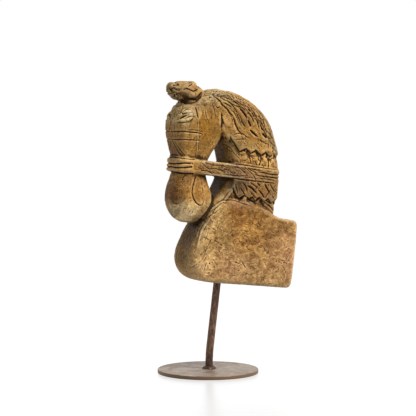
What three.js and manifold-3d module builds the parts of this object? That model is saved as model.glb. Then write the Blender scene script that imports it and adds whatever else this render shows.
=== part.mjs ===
// A carved driftwood horse head, its neck and chest cut off square, held up by a bent iron rod
// on a round plate. Millimetres, +Z up, and the horse looks along -X. The origin is the centre
// of the plate's underside.
//
// The carving is described standing upright in a frame of its own, whose origin is where the
// rod's axis enters its flat underside. It then leans back with the rod.
import * as THREE from "three";
import { mergeVertices } from "three/addons/utils/BufferGeometryUtils.js";
import Module from "manifold-3d";

const wasm = await Module();
wasm.setup();

// ---- Driving dimensions ----
const plate = { radius: 63.5, thickness: 4.8, edgeRound: 0.8, segments: 64 };
const rod = {
  radius: 4.75,
  footX: 1.55,
  lean: THREE.MathUtils.degToRad(7),
  uprightLength: 5,
  bendRadius: 205,
  shaftLength: 78.8,
  sides: 20,
  steps: 14,
};
const socket = { x: 1.55, depth: 26, clearance: 0.3 };
const weld = {
  toeRadius: 9.2,
  toeHeight: 0.6,
  height: 6.4,
  throat: 1.9,
  lumps: 5,
  lumpHeight: 0.09,
  segments: 36,
};

// The chest block, the neck and the head are each a stack of cross-sections, listed from the
// bottom up: where the section meets the front and back lines of the profile, as [x, z], its
// half width, and the radii of its front and back corners.
const chest = [
  { front: [-22, 0.4], back: [86, 2.2], half: 24.5, round: [12, 3] },
  { front: [-31, 1.6], back: [89.2, 3], half: 28, round: [13, 3.4] },
  { front: [-40, 5.8], back: [91, 6], half: 30.4, round: [13, 3.4] },
  { front: [-48.5, 16], back: [91.6, 17], half: 31, round: [12, 3] },
  { front: [-51.8, 30], back: [91.6, 32], half: 31, round: [11, 3] },
  { front: [-49, 46], back: [91.4, 52], half: 31, round: [12, 3] },
  { front: [-40, 68.5], back: [90.8, 76], half: 31, round: [15, 3] },
  { front: [-32.5, 86], back: [89.4, 86.8], half: 30.6, round: [18, 3] },
  { front: [-31, 89], back: [84, 88.4], half: 30.4, round: [19, 4] },
  { front: [-29.5, 92], back: [64, 90], half: 30.2, round: [20, 8] },
  { front: [-26, 99], back: [52.5, 97], half: 29.6, round: [21, 12] },
  { front: [-20, 107.5], back: [32, 106.5], half: 26, round: [20, 16] },
];
const neck = [
  { front: [-31, 86], back: [65.6, 84], half: 23, round: [9, 20] },
  { front: [-20, 108], back: [65.8, 108], half: 24.6, round: [11, 21] },
  { front: [-12.5, 127], back: [65.4, 127], half: 25, round: [12, 21] },
  { front: [-9.5, 145], back: [65, 145], half: 25, round: [12, 21] },
  { front: [-15, 164], back: [61.6, 166], half: 24.4, round: [12, 20] },
  { front: [-24, 183], back: [52.6, 187], half: 24, round: [9, 18] },
  { front: [-35, 192], back: [39.5, 210.5], half: 23.4, round: [8, 17] },
  { front: [-45, 197], back: [13, 230.5], half: 22.6, round: [8, 17] },
  { front: [-55, 201], back: [-19, 239.5], half: 21, round: [8, 17] },
  { front: [-68, 205], back: [-58, 232], half: 15, round: [8, 11] },
];
const head = [
  { front: [-58, 71.6], back: [-42, 71.6], half: 8, round: [8, 8] },
  { front: [-66, 75], back: [-35, 74.5], half: 15.5, round: [15, 15] },
  { front: [-74, 83], back: [-28, 82], half: 21.5, round: [20, 20] },
  { front: [-79.3, 96], back: [-23, 96], half: 25, round: [22, 22] },
  { front: [-79.3, 111], back: [-25, 111], half: 24.4, round: [20, 20] },
  { front: [-75, 128], back: [-33, 128], half: 20.6, round: [14, 16] },
  { front: [-74, 144], back: [-36.5, 144], half: 18.6, round: [10, 13] },
  { front: [-79, 160], back: [-32, 160], half: 20.4, round: [9, 11] },
  { front: [-85, 180], back: [-24.5, 178], half: 23.4, round: [10, 9] },
  { front: [-86, 194], back: [-21, 194], half: 24.4, round: [11, 8] },
  { front: [-81, 211], back: [-24, 211], half: 22.6, round: [12, 8] },
  { front: [-73, 222], back: [-36, 224], half: 17.5, round: [12, 8] },
];
const steps = { chest: 20, neck: 24, head: 26 };
const belly = { chest: 0.01, neck: 0.04, head: 0.06 };

// The strap runs round the nose and the neck in one loop, level with the underside.
const strap = {
  bottom: 133,
  top: 150.5,
  edge: 1.4,
  thickness: 6.5,
  front: -79,
  back: 66.6,
  half: 26.4,
  taper: 0.1,
  round: [13, 23],
};

// The mane is a raised layer on the neck. It ends in a hem of pointed locks above the strap, and
// shows again below it, down to a second hem. A notch lies between each two tips, at notchAt of
// the pitch, and start gives the points that lead to the first tip.
const mane = { lift: 2, topZ: 262, frontX: -70, frontZ: 190, backX: 92 };
const upperHem = {
  start: [
    [-27, 184],
    [-11, 179],
  ],
  tipX: 0.8,
  tipZ: 167,
  pitch: 15.4,
  tips: 5,
  notch: 5.2,
  notchAt: 0.5,
};
const lowerHem = { start: [[-4, 121]], tipX: 3.4, tipZ: 108, pitch: 12.6, tips: 5, notch: 4.8, notchAt: 0.3 };

// The forelock is tied in a knot that points forward, with a smaller lobe on each side of it.
const knot = { size: [25, 16, 13.5], at: [-72.5, 0, 232.5], pitch: 0.02, taper: 0.34 };
const lobe = { size: [11, 7, 8], at: [-60.5, 10, 230.5], pitch: -0.1, taper: 0.1 };

// ---- Shared helpers ----
// One cross-section: a rectangle with rounded corners that stands across the profile. Its sides
// swell by belly in the middle, and taper widens it towards the back.
function ringOf({ front, back, half, round, belly: swell = 0, taper = 0 }, arcSteps = 6) {
  const along = back.clone().sub(front);
  const depth = along.length();
  along.normalize();
  const [frontRound, backRound] = round.map((radius) => Math.min(radius, half * 0.98, depth * 0.49));
  const corners = [
    { out: frontRound, side: frontRound - half, radius: frontRound, turn: 2 },
    { out: depth - backRound, side: backRound - half, radius: backRound, turn: 3 },
    { out: depth - backRound, side: half - backRound, radius: backRound, turn: 0 },
    { out: frontRound, side: half - frontRound, radius: frontRound, turn: 1 },
  ];
  return corners.flatMap(({ out, side, radius, turn }) =>
    Array.from({ length: arcSteps + 1 }, (_, i) => {
      const angle = (turn + i / arcSteps) * 0.5 * Math.PI;
      const distance = out + radius * Math.cos(angle);
      const t = (2 * distance) / depth - 1;
      const point = front.clone().addScaledVector(along, distance);
      point.y = (side + radius * Math.sin(angle)) * (1 + swell * (1 - t * t) + taper * t);
      return point;
    }),
  );
}

// A closed skin through a stack of rings, with a fan over each end.
function skinOf(rings) {
  const count = rings[0].length;
  const points = rings.flat();
  const faces = [];
  for (let ring = 0; ring + 1 < rings.length; ring++) {
    for (let i = 0; i < count; i++) {
      const a = ring * count + i;
      const b = ring * count + ((i + 1) % count);
      faces.push(a, b, b + count, a, b + count, a + count);
    }
  }
  const middleOf = (ring) =>
    ring.reduce((sum, point) => sum.add(point), new THREE.Vector3()).divideScalar(count);
  const last = (rings.length - 1) * count;
  const bottom = points.push(middleOf(rings[0])) - 1;
  const top = points.push(middleOf(rings.at(-1))) - 1;
  for (let i = 0; i < count; i++) {
    const next = (i + 1) % count;
    faces.push(bottom, next, i, top, last + i, last + next);
  }
  return new THREE.BufferGeometry().setFromPoints(points).setIndex(faces);
}

// A smooth body through its sections, swollen all round by grow.
function bodyThrough(sections, count, swell, grow = 0) {
  const through = (pick) => new THREE.CatmullRomCurve3(sections.map(pick), false, "centripetal");
  const frontLine = through((s) => new THREE.Vector3(s.front[0], 0, s.front[1]));
  const backLine = through((s) => new THREE.Vector3(s.back[0], 0, s.back[1]));
  const shapeLine = through((s) => new THREE.Vector3(s.half, ...s.round));
  const rings = Array.from({ length: count + 1 }, (_, i) => {
    const front = frontLine.getPoint(i / count);
    const back = backLine.getPoint(i / count);
    const shape = shapeLine.getPoint(i / count).addScalar(grow);
    const outward = back.clone().sub(front).setLength(grow);
    front.sub(outward);
    back.add(outward);
    return ringOf({ front, back, half: shape.x, round: [shape.y, shape.z], belly: swell });
  });
  return solidOf(skinOf(rings));
}

function solidOf(geometry) {
  const plain = new THREE.BufferGeometry();
  plain.setAttribute("position", geometry.getAttribute("position"));
  plain.setIndex(geometry.getIndex());
  const merged = mergeVertices(plain, 1e-4);
  const vertProperties = merged.getAttribute("position").array;
  const triVerts = new Uint32Array(merged.getIndex().array);
  return new wasm.Manifold(new wasm.Mesh({ numProp: 3, vertProperties, triVerts }));
}

function geometryOf(solid) {
  const { vertProperties, numProp, triVerts } = solid.getMesh();
  const shared = new THREE.BufferGeometry();
  shared.setAttribute("position", new THREE.BufferAttribute(vertProperties, numProp));
  shared.setIndex(new THREE.BufferAttribute(triVerts, 1));
  const geometry = shared.toNonIndexed();
  geometry.computeVertexNormals();
  return geometry;
}

// An outline in the profile plane, as [x, z] points, made a slab that reaches past both sides.
function slabOf(outline, reach = 60) {
  const shape = new THREE.Shape(outline.map(([x, z]) => new THREE.Vector2(x, z)));
  const slab = new THREE.ExtrudeGeometry(shape, { depth: 2 * reach, bevelEnabled: false });
  slab.rotateX(Math.PI / 2);
  slab.translate(0, reach, 0);
  return solidOf(slab);
}

// ---- The carving ----
// The zigzag of a hem, from front to back.
function hemLine({ start, tipX, tipZ, pitch, tips, notch, notchAt }) {
  const line = [...start];
  for (let i = 0; i < tips; i++) {
    const x = tipX + i * pitch;
    line.push([x, tipZ], [x + pitch * notchAt, tipZ + notch]);
  }
  line.push([mane.backX, tipZ + notch]);
  return line;
}

function maneLayers() {
  const swollen = bodyThrough(neck, steps.neck, belly.neck, mane.lift);
  const underStrap = (strap.bottom + strap.top) / 2;
  const upper = slabOf([
    ...hemLine(upperHem),
    [mane.backX, mane.topZ],
    [mane.frontX, mane.topZ],
    [mane.frontX, mane.frontZ],
  ]);
  const lower = slabOf([...hemLine(lowerHem), [mane.backX, underStrap], [lowerHem.start[0][0], underStrap]]);
  return [swollen.intersect(upper), swollen.intersect(lower)];
}

function strapLoop() {
  const ringAt = (inset, z) =>
    ringOf({
      front: new THREE.Vector3(strap.front + inset, 0, z),
      back: new THREE.Vector3(strap.back - inset, 0, z),
      half: strap.half - inset,
      round: strap.round.map((radius) => radius - inset),
      taper: strap.taper,
    });
  const outer = skinOf([
    ringAt(strap.edge, strap.bottom),
    ringAt(0, strap.bottom + strap.edge),
    ringAt(0, strap.top - strap.edge),
    ringAt(strap.edge, strap.top),
  ]);
  const inner = skinOf([ringAt(strap.thickness, strap.bottom - 1), ringAt(strap.thickness, strap.top + 1)]);
  return solidOf(outer).subtract(solidOf(inner));
}

// An egg that narrows towards its front end.
function eggOf({ size, at, pitch, taper }, side = 1) {
  const egg = new THREE.SphereGeometry(1, 22, 14);
  const position = egg.getAttribute("position");
  for (let i = 0; i < position.count; i++) {
    const x = position.getX(i);
    const narrow = 1 - taper * Math.max(0, -x) ** 1.6;
    position.setXYZ(i, x, position.getY(i) * narrow, position.getZ(i) * narrow);
  }
  egg.scale(...size);
  egg.rotateY(pitch);
  egg.translate(at[0], at[1] * side, at[2]);
  return solidOf(egg);
}

// The blind hole in the underside that the rod goes up into.
function rodHole() {
  const radius = rod.radius + socket.clearance;
  const hole = new THREE.CylinderGeometry(radius, radius, 2 * socket.depth, rod.sides);
  hole.rotateX(Math.PI / 2);
  hole.translate(socket.x, 0, 0);
  return solidOf(hole);
}

function horseBust() {
  const pieces = [
    bodyThrough(chest, steps.chest, belly.chest),
    bodyThrough(neck, steps.neck, belly.neck),
    bodyThrough(head, steps.head, belly.head),
    ...maneLayers(),
    strapLoop(),
    eggOf(knot),
    eggOf(lobe, 1),
    eggOf(lobe, -1),
  ];
  const whole = pieces.reduce((joined, piece) => joined.add(piece));
  return geometryOf(whole.subtract(rodHole()));
}

// ---- The stand ----
// The rod stands upright on the plate, bends back, and then runs straight into the carving.
const shaftAxis = new THREE.Vector3(Math.sin(rod.lean), 0, Math.cos(rod.lean));
const bendPoint = (angle) =>
  new THREE.Vector3(
    rod.footX + rod.bendRadius * (1 - Math.cos(angle)),
    0,
    plate.thickness + rod.uprightLength + rod.bendRadius * Math.sin(angle),
  );
const seat = bendPoint(rod.lean).addScaledVector(shaftAxis, rod.shaftLength);

function rodShaft() {
  const path = new THREE.CatmullRomCurve3([
    new THREE.Vector3(rod.footX, 0, plate.thickness),
    bendPoint(0),
    bendPoint(rod.lean / 2),
    bendPoint(rod.lean),
    seat,
    seat.clone().addScaledVector(shaftAxis, socket.depth - socket.clearance),
  ]);
  const angles = Array.from({ length: rod.sides }, (_, i) => (2 * Math.PI * i) / rod.sides);
  const section = new THREE.Shape(
    angles.map((a) => new THREE.Vector2(rod.radius * Math.cos(a), rod.radius * Math.sin(a))),
  );
  return new THREE.ExtrudeGeometry(section, { steps: rod.steps, extrudePath: path });
}

// A ring of weld metal round the rod's foot, hollow-sided and a little lumpy.
function weldBead() {
  const profile = [
    [0, 0],
    [weld.toeRadius, 0],
    [weld.toeRadius, weld.toeHeight],
    [rod.radius + weld.throat, weld.height * 0.4],
    [rod.radius + weld.throat * 0.4, weld.height * 0.75],
    [rod.radius, weld.height],
    [0, weld.height],
  ];
  const bead = new THREE.LatheGeometry(
    profile.map(([r, z]) => new THREE.Vector2(r, z)),
    weld.segments,
  );
  bead.rotateX(Math.PI / 2);
  const position = bead.getAttribute("position");
  for (let i = 0; i < position.count; i++) {
    const [x, y, z] = [position.getX(i), position.getY(i), position.getZ(i)];
    const angle = Math.atan2(y, x);
    const lump = 1 + weld.lumpHeight * Math.sin(weld.lumps * angle) * Math.sin(2 * angle + 1);
    position.setXYZ(i, rod.footX + x * lump, y * lump, z + plate.thickness);
  }
  return bead;
}

function roundPlate() {
  const { radius, thickness, edgeRound: edge, segments } = plate;
  const corner = (centreZ, from) =>
    [0, 0.5, 1].map((share) => {
      const angle = from + share * 0.5 * Math.PI;
      return new THREE.Vector2(radius - edge + edge * Math.cos(angle), centreZ + edge * Math.sin(angle));
    });
  const profile = [
    new THREE.Vector2(0, 0),
    ...corner(edge, -0.5 * Math.PI),
    ...corner(thickness - edge, 0),
    new THREE.Vector2(0, thickness),
  ];
  const disc = new THREE.LatheGeometry(profile, segments);
  disc.rotateX(Math.PI / 2);
  return disc;
}

// ---- The object ----
const driftwood = new THREE.MeshStandardMaterial({ color: 0xb08a55, roughness: 0.78, metalness: 0 });
const rodIron = new THREE.MeshStandardMaterial({ color: 0x5a4034, roughness: 0.5, metalness: 0.85 });
const plateIron = new THREE.MeshStandardMaterial({ color: 0x7a6655, roughness: 0.55, metalness: 0.8 });

function named(name, geometry, material) {
  const mesh = new THREE.Mesh(geometry, material);
  mesh.name = name;
  return mesh;
}

const carving = new THREE.Group();
carving.rotation.y = rod.lean;
carving.position.copy(seat).sub(new THREE.Vector3(socket.x, 0, 0).applyEuler(carving.rotation));
carving.add(named("horse_bust", horseBust(), driftwood));

const sculpture = new THREE.Group();
sculpture.add(
  named("stand_base", roundPlate(), plateIron),
  named("stand_rod", geometryOf(solidOf(rodShaft()).add(solidOf(weldBead()))), rodIron),
  carving,
);

export default sculpture;
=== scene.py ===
import math
import random
from functools import partial, reduce
import bmesh
import bpy
import numpy as np
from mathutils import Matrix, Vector
from mathutils.bvhtree import BVHTree


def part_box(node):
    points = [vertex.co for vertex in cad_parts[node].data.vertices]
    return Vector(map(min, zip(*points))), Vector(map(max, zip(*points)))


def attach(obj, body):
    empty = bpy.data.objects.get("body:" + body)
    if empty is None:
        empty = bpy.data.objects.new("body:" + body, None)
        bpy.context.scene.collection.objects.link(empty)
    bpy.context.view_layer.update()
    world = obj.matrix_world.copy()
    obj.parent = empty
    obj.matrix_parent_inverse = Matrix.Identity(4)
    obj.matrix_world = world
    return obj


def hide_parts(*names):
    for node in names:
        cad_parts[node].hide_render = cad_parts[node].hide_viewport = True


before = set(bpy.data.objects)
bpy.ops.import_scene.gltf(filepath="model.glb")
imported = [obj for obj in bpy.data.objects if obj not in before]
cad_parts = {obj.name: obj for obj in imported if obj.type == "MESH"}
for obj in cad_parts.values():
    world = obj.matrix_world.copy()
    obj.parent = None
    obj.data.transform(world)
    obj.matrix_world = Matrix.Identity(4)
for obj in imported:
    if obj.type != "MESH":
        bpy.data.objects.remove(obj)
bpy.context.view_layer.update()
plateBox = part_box("stand_base")

# The carving is worked in its own millimetres: x from nose to back, z up its neck, y to its sides.
# Its origin sits on the flat underside, where it leans back with the rod.
stand = {
    "footX": 1.55,
    "upright": 5.0,
    "bendRadius": 205.0,
    "shaft": 78.8,
    "leanDegrees": 7.0,
    "holeX": 1.55,
}
lean = math.radians(stand["leanDegrees"])
acrossAxis = np.array([math.cos(lean), 0, -math.sin(lean)])
sideAxis = np.array([0.0, 1.0, 0.0])
upAxis = np.array([math.sin(lean), 0, math.cos(lean)])
bendStart = np.array([stand["footX"], 0, plateBox[1][2] * 1000 + stand["upright"]])
bendShift = stand["bendRadius"] * np.array([1 - math.cos(lean), 0, math.sin(lean)])
bustOrigin = bendStart + bendShift + stand["shaft"] * upAxis - stand["holeX"] * acrossAxis
toAxes = np.array([acrossAxis, sideAxis, upAxis])


def toWorld(points):
    return (np.asarray(points, float) @ toAxes + bustOrigin) / 1000


def toBust(points):
    return (np.asarray(points, float) * 1000 - bustOrigin) @ toAxes.T


# small helpers

def addNode(tree, kind, inputs=None, **settings):
    node = tree.nodes.new(kind)
    for key, value in settings.items():
        setattr(node, key, value)
    for key, value in (inputs or {}).items():
        if isinstance(value, bpy.types.NodeSocket):
            tree.links.new(value, node.inputs[key])
        else:
            node.inputs[key].default_value = value
    return node


def treeOf(*values):
    return next(value.id_data for value in values if isinstance(value, bpy.types.NodeSocket))


def mathOf(operation, first, second=0.0, clamp=False):
    node = addNode(treeOf(first, second), "ShaderNodeMath", {0: first, 1: second}, operation=operation)
    node.use_clamp = clamp
    return node.outputs[0]


def times(*values):
    return reduce(partial(mathOf, "MULTIPLY"), values)


def plus(*values):
    return reduce(partial(mathOf, "ADD"), values)


def minus(first, second, clamp=False):
    return mathOf("SUBTRACT", first, second, clamp)


def vectorOf(operation, first, second=(0, 0, 0), out="Vector"):
    values = {0: first, 1: second}
    return addNode(treeOf(first, second), "ShaderNodeVectorMath", values, operation=operation).outputs[out]


def scaled(vector, amount):
    values = {0: vector, "Scale": amount}
    return addNode(treeOf(vector), "ShaderNodeVectorMath", values, operation="SCALE").outputs[0]


def spanOf(value, low, high, toMin=0.0, toMax=1.0, kind="SMOOTHSTEP"):
    values = {"Value": value, "From Min": low, "From Max": high, "To Min": toMin, "To Max": toMax}
    return addNode(treeOf(value), "ShaderNodeMapRange", values, interpolation_type=kind).outputs[0]


def noiseOf(coords, scale, detail=4.0, rough=0.5, bend=0.0, seed=None, out=0):
    values = {"Vector": coords, "Scale": scale, "Detail": detail, "Roughness": rough, "Distortion": bend}
    if seed:
        values["W"] = seed
    kind = "4D" if seed else "3D"
    return addNode(treeOf(coords), "ShaderNodeTexNoise", values, noise_dimensions=kind).outputs[out]


def cellsOf(coords, scale):
    values = {"Vector": coords, "Scale": scale}
    return addNode(treeOf(coords), "ShaderNodeTexVoronoi", values).outputs["Distance"]


def mixOf(factor, first, second, blend="MIX"):
    values = {0: factor, 6: first, 7: second}
    node = addNode(treeOf(factor, first), "ShaderNodeMix", values, data_type="RGBA", blend_type=blend)
    return node.outputs[2]


def mapped(coords, scale, turn=0.0, kind="POINT"):
    # coordinates stretched, and turned about y by so many degrees
    values = {"Vector": coords, "Scale": scale, "Rotation": (0, math.radians(turn), 0)}
    return addNode(treeOf(coords), "ShaderNodeMapping", values, vector_type=kind).outputs[0]


def bumpOf(height, strength, distance):
    values = {"Height": height, "Strength": strength, "Distance": distance}
    return addNode(treeOf(height), "ShaderNodeBump", values).outputs[0]


def stored(tree, name, kind="FLOAT"):
    return addNode(tree, "GeometryNodeInputNamedAttribute", {"Name": name}, data_type=kind).outputs[0]


def moveAlong(geometry, way, amount):
    values = {"Geometry": geometry, "Offset": scaled(way, amount)}
    return addNode(treeOf(way), "GeometryNodeSetPosition", values).outputs[0]


def newGeometryTree(name, kinds):
    # kinds gives the names of the inputs of each kind of socket
    tree = bpy.data.node_groups.new(name, "GeometryNodeTree")
    tree.interface.new_socket("Geometry", in_out="INPUT", socket_type="NodeSocketGeometry")
    for kind, labels in kinds.items():
        for label in labels:
            tree.interface.new_socket(label, in_out="INPUT", socket_type="NodeSocket" + kind)
    tree.interface.new_socket("Geometry", in_out="OUTPUT", socket_type="NodeSocketGeometry")
    groupIn = addNode(tree, "NodeGroupInput")
    return tree, groupIn.outputs


def endTree(tree, geometry, material):
    real = addNode(tree, "GeometryNodeRealizeInstances", {0: geometry})
    done = addNode(tree, "GeometryNodeSetMaterial", {"Geometry": real.outputs[0], "Material": material})
    addNode(tree, "NodeGroupOutput", {0: done.outputs[0]})


def runTree(piece, tree, values):
    modifier = piece.modifiers.new(tree.name, "NODES")
    modifier.node_group = tree
    for item in tree.interface.items_tree:
        if item.in_out == "INPUT" and item.name in values:
            modifier[item.identifier] = values[item.name]
    swapMesh(piece)


def swapMesh(piece):
    # what the modifiers make becomes the piece's plain mesh, and they go
    seen = piece.evaluated_get(bpy.context.evaluated_depsgraph_get())
    made = bpy.data.meshes.new_from_object(seen)
    piece.modifiers.clear()
    old = piece.data
    piece.data = made
    bpy.data.meshes.remove(old)


def newPiece(name, mesh):
    piece = bpy.data.objects.new(name, mesh)
    bpy.context.scene.collection.objects.link(piece)
    return piece


def readPoints(mesh):
    flat = np.empty(len(mesh.vertices) * 3, np.float32)
    mesh.vertices.foreach_get("co", flat)
    return flat.reshape(-1, 3).astype(float)


def writePoints(mesh, points):
    mesh.vertices.foreach_set("co", points.astype(np.float32).ravel())
    mesh.update()


def readEdges(mesh):
    flat = np.empty(len(mesh.edges) * 2, np.int32)
    mesh.edges.foreach_get("vertices", flat)
    return flat.reshape(-1, 2)


def relax(values, edges, rounds, strength=0.6, regrow=0.0):
    # each point moves towards the mean of its neighbours, and regrow takes back the shrinking
    count = len(values)
    both = np.concatenate([edges[:, 0], edges[:, 1]])
    other = np.concatenate([edges[:, 1], edges[:, 0]])
    degree = np.maximum(np.bincount(both, minlength=count), 1)
    values = values.reshape(count, -1).copy()
    for _ in range(rounds):
        for push in (strength, -regrow) if regrow else (strength,):
            for axis in range(values.shape[1]):
                mean = np.bincount(both, values[other, axis], minlength=count) / degree
                values[:, axis] += push * (mean - values[:, axis])
    return values


def ease(value, low, high):
    t = np.clip((np.asarray(value, float) - low) / (high - low), 0, 1)
    return t * t * (3 - 2 * t)


# the blank: the plain carving before the knife

blank = {
    "coarseVoxel": 0.0016,
    "fineVoxel": 0.00062,
    "quickVoxel": 0.0011,
    "coarseRounds": 22,
    "fineRounds": 3,
}


def remeshPiece(piece, size):
    modifier = piece.modifiers.new("voxels", "REMESH")
    modifier.mode = "VOXEL"
    modifier.voxel_size = size
    swapMesh(piece)


def smoothPiece(piece, rounds, strength, regrow):
    mesh = piece.data
    writePoints(mesh, relax(readPoints(mesh), readEdges(mesh), rounds, strength, regrow))


def voxelSize():
    return blank["fineVoxel"]


def makeBlank():
    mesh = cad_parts["horse_bust"].data.copy()
    work = bmesh.new()
    work.from_mesh(mesh)
    bmesh.ops.remove_doubles(work, verts=work.verts, dist=1e-6)
    work.to_mesh(mesh)
    work.free()
    piece = newPiece("carvedHorse", mesh)
    remeshPiece(piece, blank["coarseVoxel"])
    smoothPiece(piece, blank["coarseRounds"], 0.6, 0.62)
    remeshPiece(piece, voxelSize())
    smoothPiece(piece, blank["fineRounds"], 0.5, 0.52)
    return piece


horse = makeBlank()
print("blank ready, points", len(horse.data.vertices))


def makeCaster(piece):
    mesh = piece.data
    points = [Vector(p) for p in toBust(readPoints(mesh))]
    return BVHTree.FromPolygons(points, [tuple(face.vertices) for face in mesh.polygons])


def giveAttribute(mesh, name, values, kind="FLOAT"):
    made = mesh.attributes.get(name) or mesh.attributes.new(name, kind, "POINT")
    field = {"FLOAT": "value", "FLOAT_VECTOR": "vector", "FLOAT_COLOR": "color"}[kind]
    made.data.foreach_set(field, np.asarray(values, np.float32).ravel())


def outwardOf(mesh, rounds):
    flat = np.empty(len(mesh.vertices) * 3, np.float32)
    mesh.vertex_normals.foreach_get("vector", flat)
    soft = relax(flat.reshape(-1, 3).astype(float), readEdges(mesh), rounds)
    return soft / np.maximum(np.linalg.norm(soft, axis=1, keepdims=True), 1e-9)


caster = makeCaster(horse)
restPoints = readPoints(horse.data)
outward = outwardOf(horse.data, 8)
giveAttribute(horse.data, "rest", restPoints, "FLOAT_VECTOR")
giveAttribute(horse.data, "outward", outward, "FLOAT_VECTOR")

# the zigzag hems of the cropped mane: below each one the wood is cut back and rises again
hems = {
    "upper": {
        "line": [(-16, 183), (-8, 176), (0, 167), (8.7, 172), (16, 167), (22, 171.6), (31, 165.6),
                 (36, 170.6), (43.5, 165.6), (48, 170), (57, 165.4), (61, 169), (66, 165.5)],
        "depth": 1.15, "rise": 12.0, "lowest": 151.0,
    },
    "lower": {
        "line": [(-4, 121), (1.7, 112.4), (6.8, 108.8), (12.6, 113.6), (20.6, 109.6), (24.7, 113),
                 (29, 107.8), (33.6, 113.4), (41.7, 107.8), (46, 112.8), (53, 107), (58, 111.2), (64, 106)],
        "depth": 1.2, "rise": 8.0, "lowest": 98.0,
    },
}


def cutHems(piece):
    points = readPoints(piece.data)
    x, y, z = toBust(points).T
    for hem in hems.values():
        line = np.array(hem["line"], float)
        below = np.interp(x, line[:, 0], line[:, 1]) - z
        inside = ease(x, line[0, 0] - 1, line[0, 0] + 2) * ease(z, hem["lowest"] - 1, hem["lowest"])
        sink = hem["depth"] * ease(below, -0.2, 0.5) * (1 - ease(below, 0.5, hem["rise"])) * inside
        # on the narrow front of the neck there is no mane
        sink *= ease(np.abs(y), 12, 18) + ease(x, 30, 45)
        points -= outward * np.minimum(sink, hem["depth"])[:, None] / 1000
    writePoints(piece.data, points)


cutHems(horse)

# the knife: lines laid on the blank, and the tree that cuts along them

knife = {
    "formSeed": 1,
    "cutSeed": 2,
    "spacing": 0.4,
    "reach": 95.0,
    "jump": 3.5,
    "headX": -58.0,
    "backX": 35.0,
    "outside": {"front": -150, "rear": 170, "top": 300, "under": -60},
    "farDrift": 0.6,
    "farDepth": (0.85, 1.1),
    "mmPerDegree": 0.7,
    "taper": 0.22,
    "thinEnd": (0.3, 0.7),
    "narrowEnd": (0.55, 0.45),
    "crestInset": 26.0,
    "burrAt": 1.25,
    "burrSlope": 2.6,
    # the neck from its foot to the poll, as [x, z] down its front and its back
    "neckFront": [(-31, 86), (-20, 108), (-12, 127), (-9, 145), (-15, 164), (-24, 183), (-35, 192),
                  (-45, 197), (-55, 201), (-68, 205)],
    "neckBack": [(66, 84), (66, 108), (65, 127), (65, 145), (62, 166), (53, 187), (39, 210), (13, 230),
                 (-19, 239), (-58, 232)],
}
neckFront = np.array(knife["neckFront"], float)
neckBack = np.array(knife["neckBack"], float)
neckRun = np.concatenate([[0], np.cumsum(np.linalg.norm(np.diff(neckBack, axis=0), axis=1))])


def alongNeck(along, line):
    return np.array([np.interp(along, neckRun, line[:, i]) for i in (0, 1)])


def crestFrame(along):
    # the point inside the neck that crest lines look at, and the way out from it to the crest
    back, front = alongNeck(along, neckBack), alongNeck(along, neckFront)
    out = (back - front) / np.linalg.norm(back - front)
    return back - out * knife["crestInset"], out


def aim(kind, first, second, side):
    # where the knife comes from and where it points, for the near side (-1) or the far side (1)
    reach, outside = knife["reach"], knife["outside"]
    straight = {
        "side": ((first, side * reach, second), (0, -side, 0)),
        "front": ((outside["front"], -side * first, second), (1, 0, 0)),
        "rear": ((outside["rear"], first, second), (-1, 0, 0)),
        "top": ((first, second, outside["top"]), (0, 0, -1)),
        "under": ((first, second, outside["under"]), (0, 0, 1)),
    }
    if kind in straight:
        return straight[kind]
    if kind == "crest":
        centre, out = crestFrame(first)
        tilt = math.radians(second)
        way = np.array([math.cos(tilt) * out[0], side * math.sin(tilt), math.cos(tilt) * out[1]])
        return np.array([centre[0], 0, centre[1]]) + way * reach, -way
    turn = math.radians(first)
    way = np.array([-math.cos(turn), side * math.sin(turn), 0])
    return np.array([knife[kind + "X"], 0, second]) + way * reach, -way


def smoothRun(controls, spacing, kind):
    # a Catmull-Rom run through the control points
    controls = np.array(controls, float)
    if len(controls) == 1:
        return controls
    padded = np.vstack([2 * controls[0] - controls[1], controls, 2 * controls[-1] - controls[-2]])
    scale = np.array([knife["mmPerDegree"] if kind in ("head", "back") else 1.0, 1.0])
    run = []
    for a, b, c, d in zip(padded, padded[1:], padded[2:], padded[3:]):
        count = max(2, int(np.linalg.norm((c - b) * scale) / spacing) + 1)
        for t in np.arange(count) / count:
            run.append(0.5 * (2 * b + (c - a) * t + (2 * a - 5 * b + 4 * c - d) * t * t
                              + (3 * b - a - 3 * c + d) * t ** 3))
    run.append(controls[-1])
    return np.array(run)


def layLine(bench, side, kind, controls, width, depth, lean=(0, 0), taper=knife["taper"]):
    thinEnd, narrowEnd = knife["thinEnd"], knife["narrowEnd"]
    run = smoothRun(controls, knife["spacing"], kind)
    last = None
    for index, (first, second) in enumerate(run):
        start, way = aim(kind, first, second, side)
        found = caster.ray_cast(Vector(start), Vector(way))[0]
        jumped = found is None or (last is not None and (found - last).length > knife["jump"])
        last = found
        if jumped:
            continue
        edge = min(index, len(run) - 1 - index) / max(len(run) - 1, 1)
        # each end runs out shallower and narrower
        fade = 1.0 if len(run) < 3 or not taper else min(1.0, thinEnd[0] + thinEnd[1] * edge / taper)
        bench["at"].append(found)
        bench["cutWidth"].append(width * (narrowEnd[0] + narrowEnd[1] * fade) / 1000)
        bench["cutDepth"].append(depth * fade / 1000)
        bench["cutLean"].append(lean[0] * acrossAxis + lean[1] * upAxis)


def layOn(bench, strokes, *sides, **settings):
    for mark in strokes:
        for side in sides:
            layLine(bench, side, *mark, **settings)


def layBoth(bench, strokes, rng):
    # the far side is carved by the same hand, not quite to the same line
    drift = knife["farDrift"]
    for kind, controls, width, depth, lean in strokes:
        layLine(bench, -1, kind, controls, width, depth, lean)
        shift = [(x + rng.uniform(-1, 1) * drift, z + rng.uniform(-1, 1) * drift) for x, z in controls]
        layLine(bench, 1, kind, shift, width, depth * rng.uniform(*knife["farDepth"]), lean)


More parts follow.
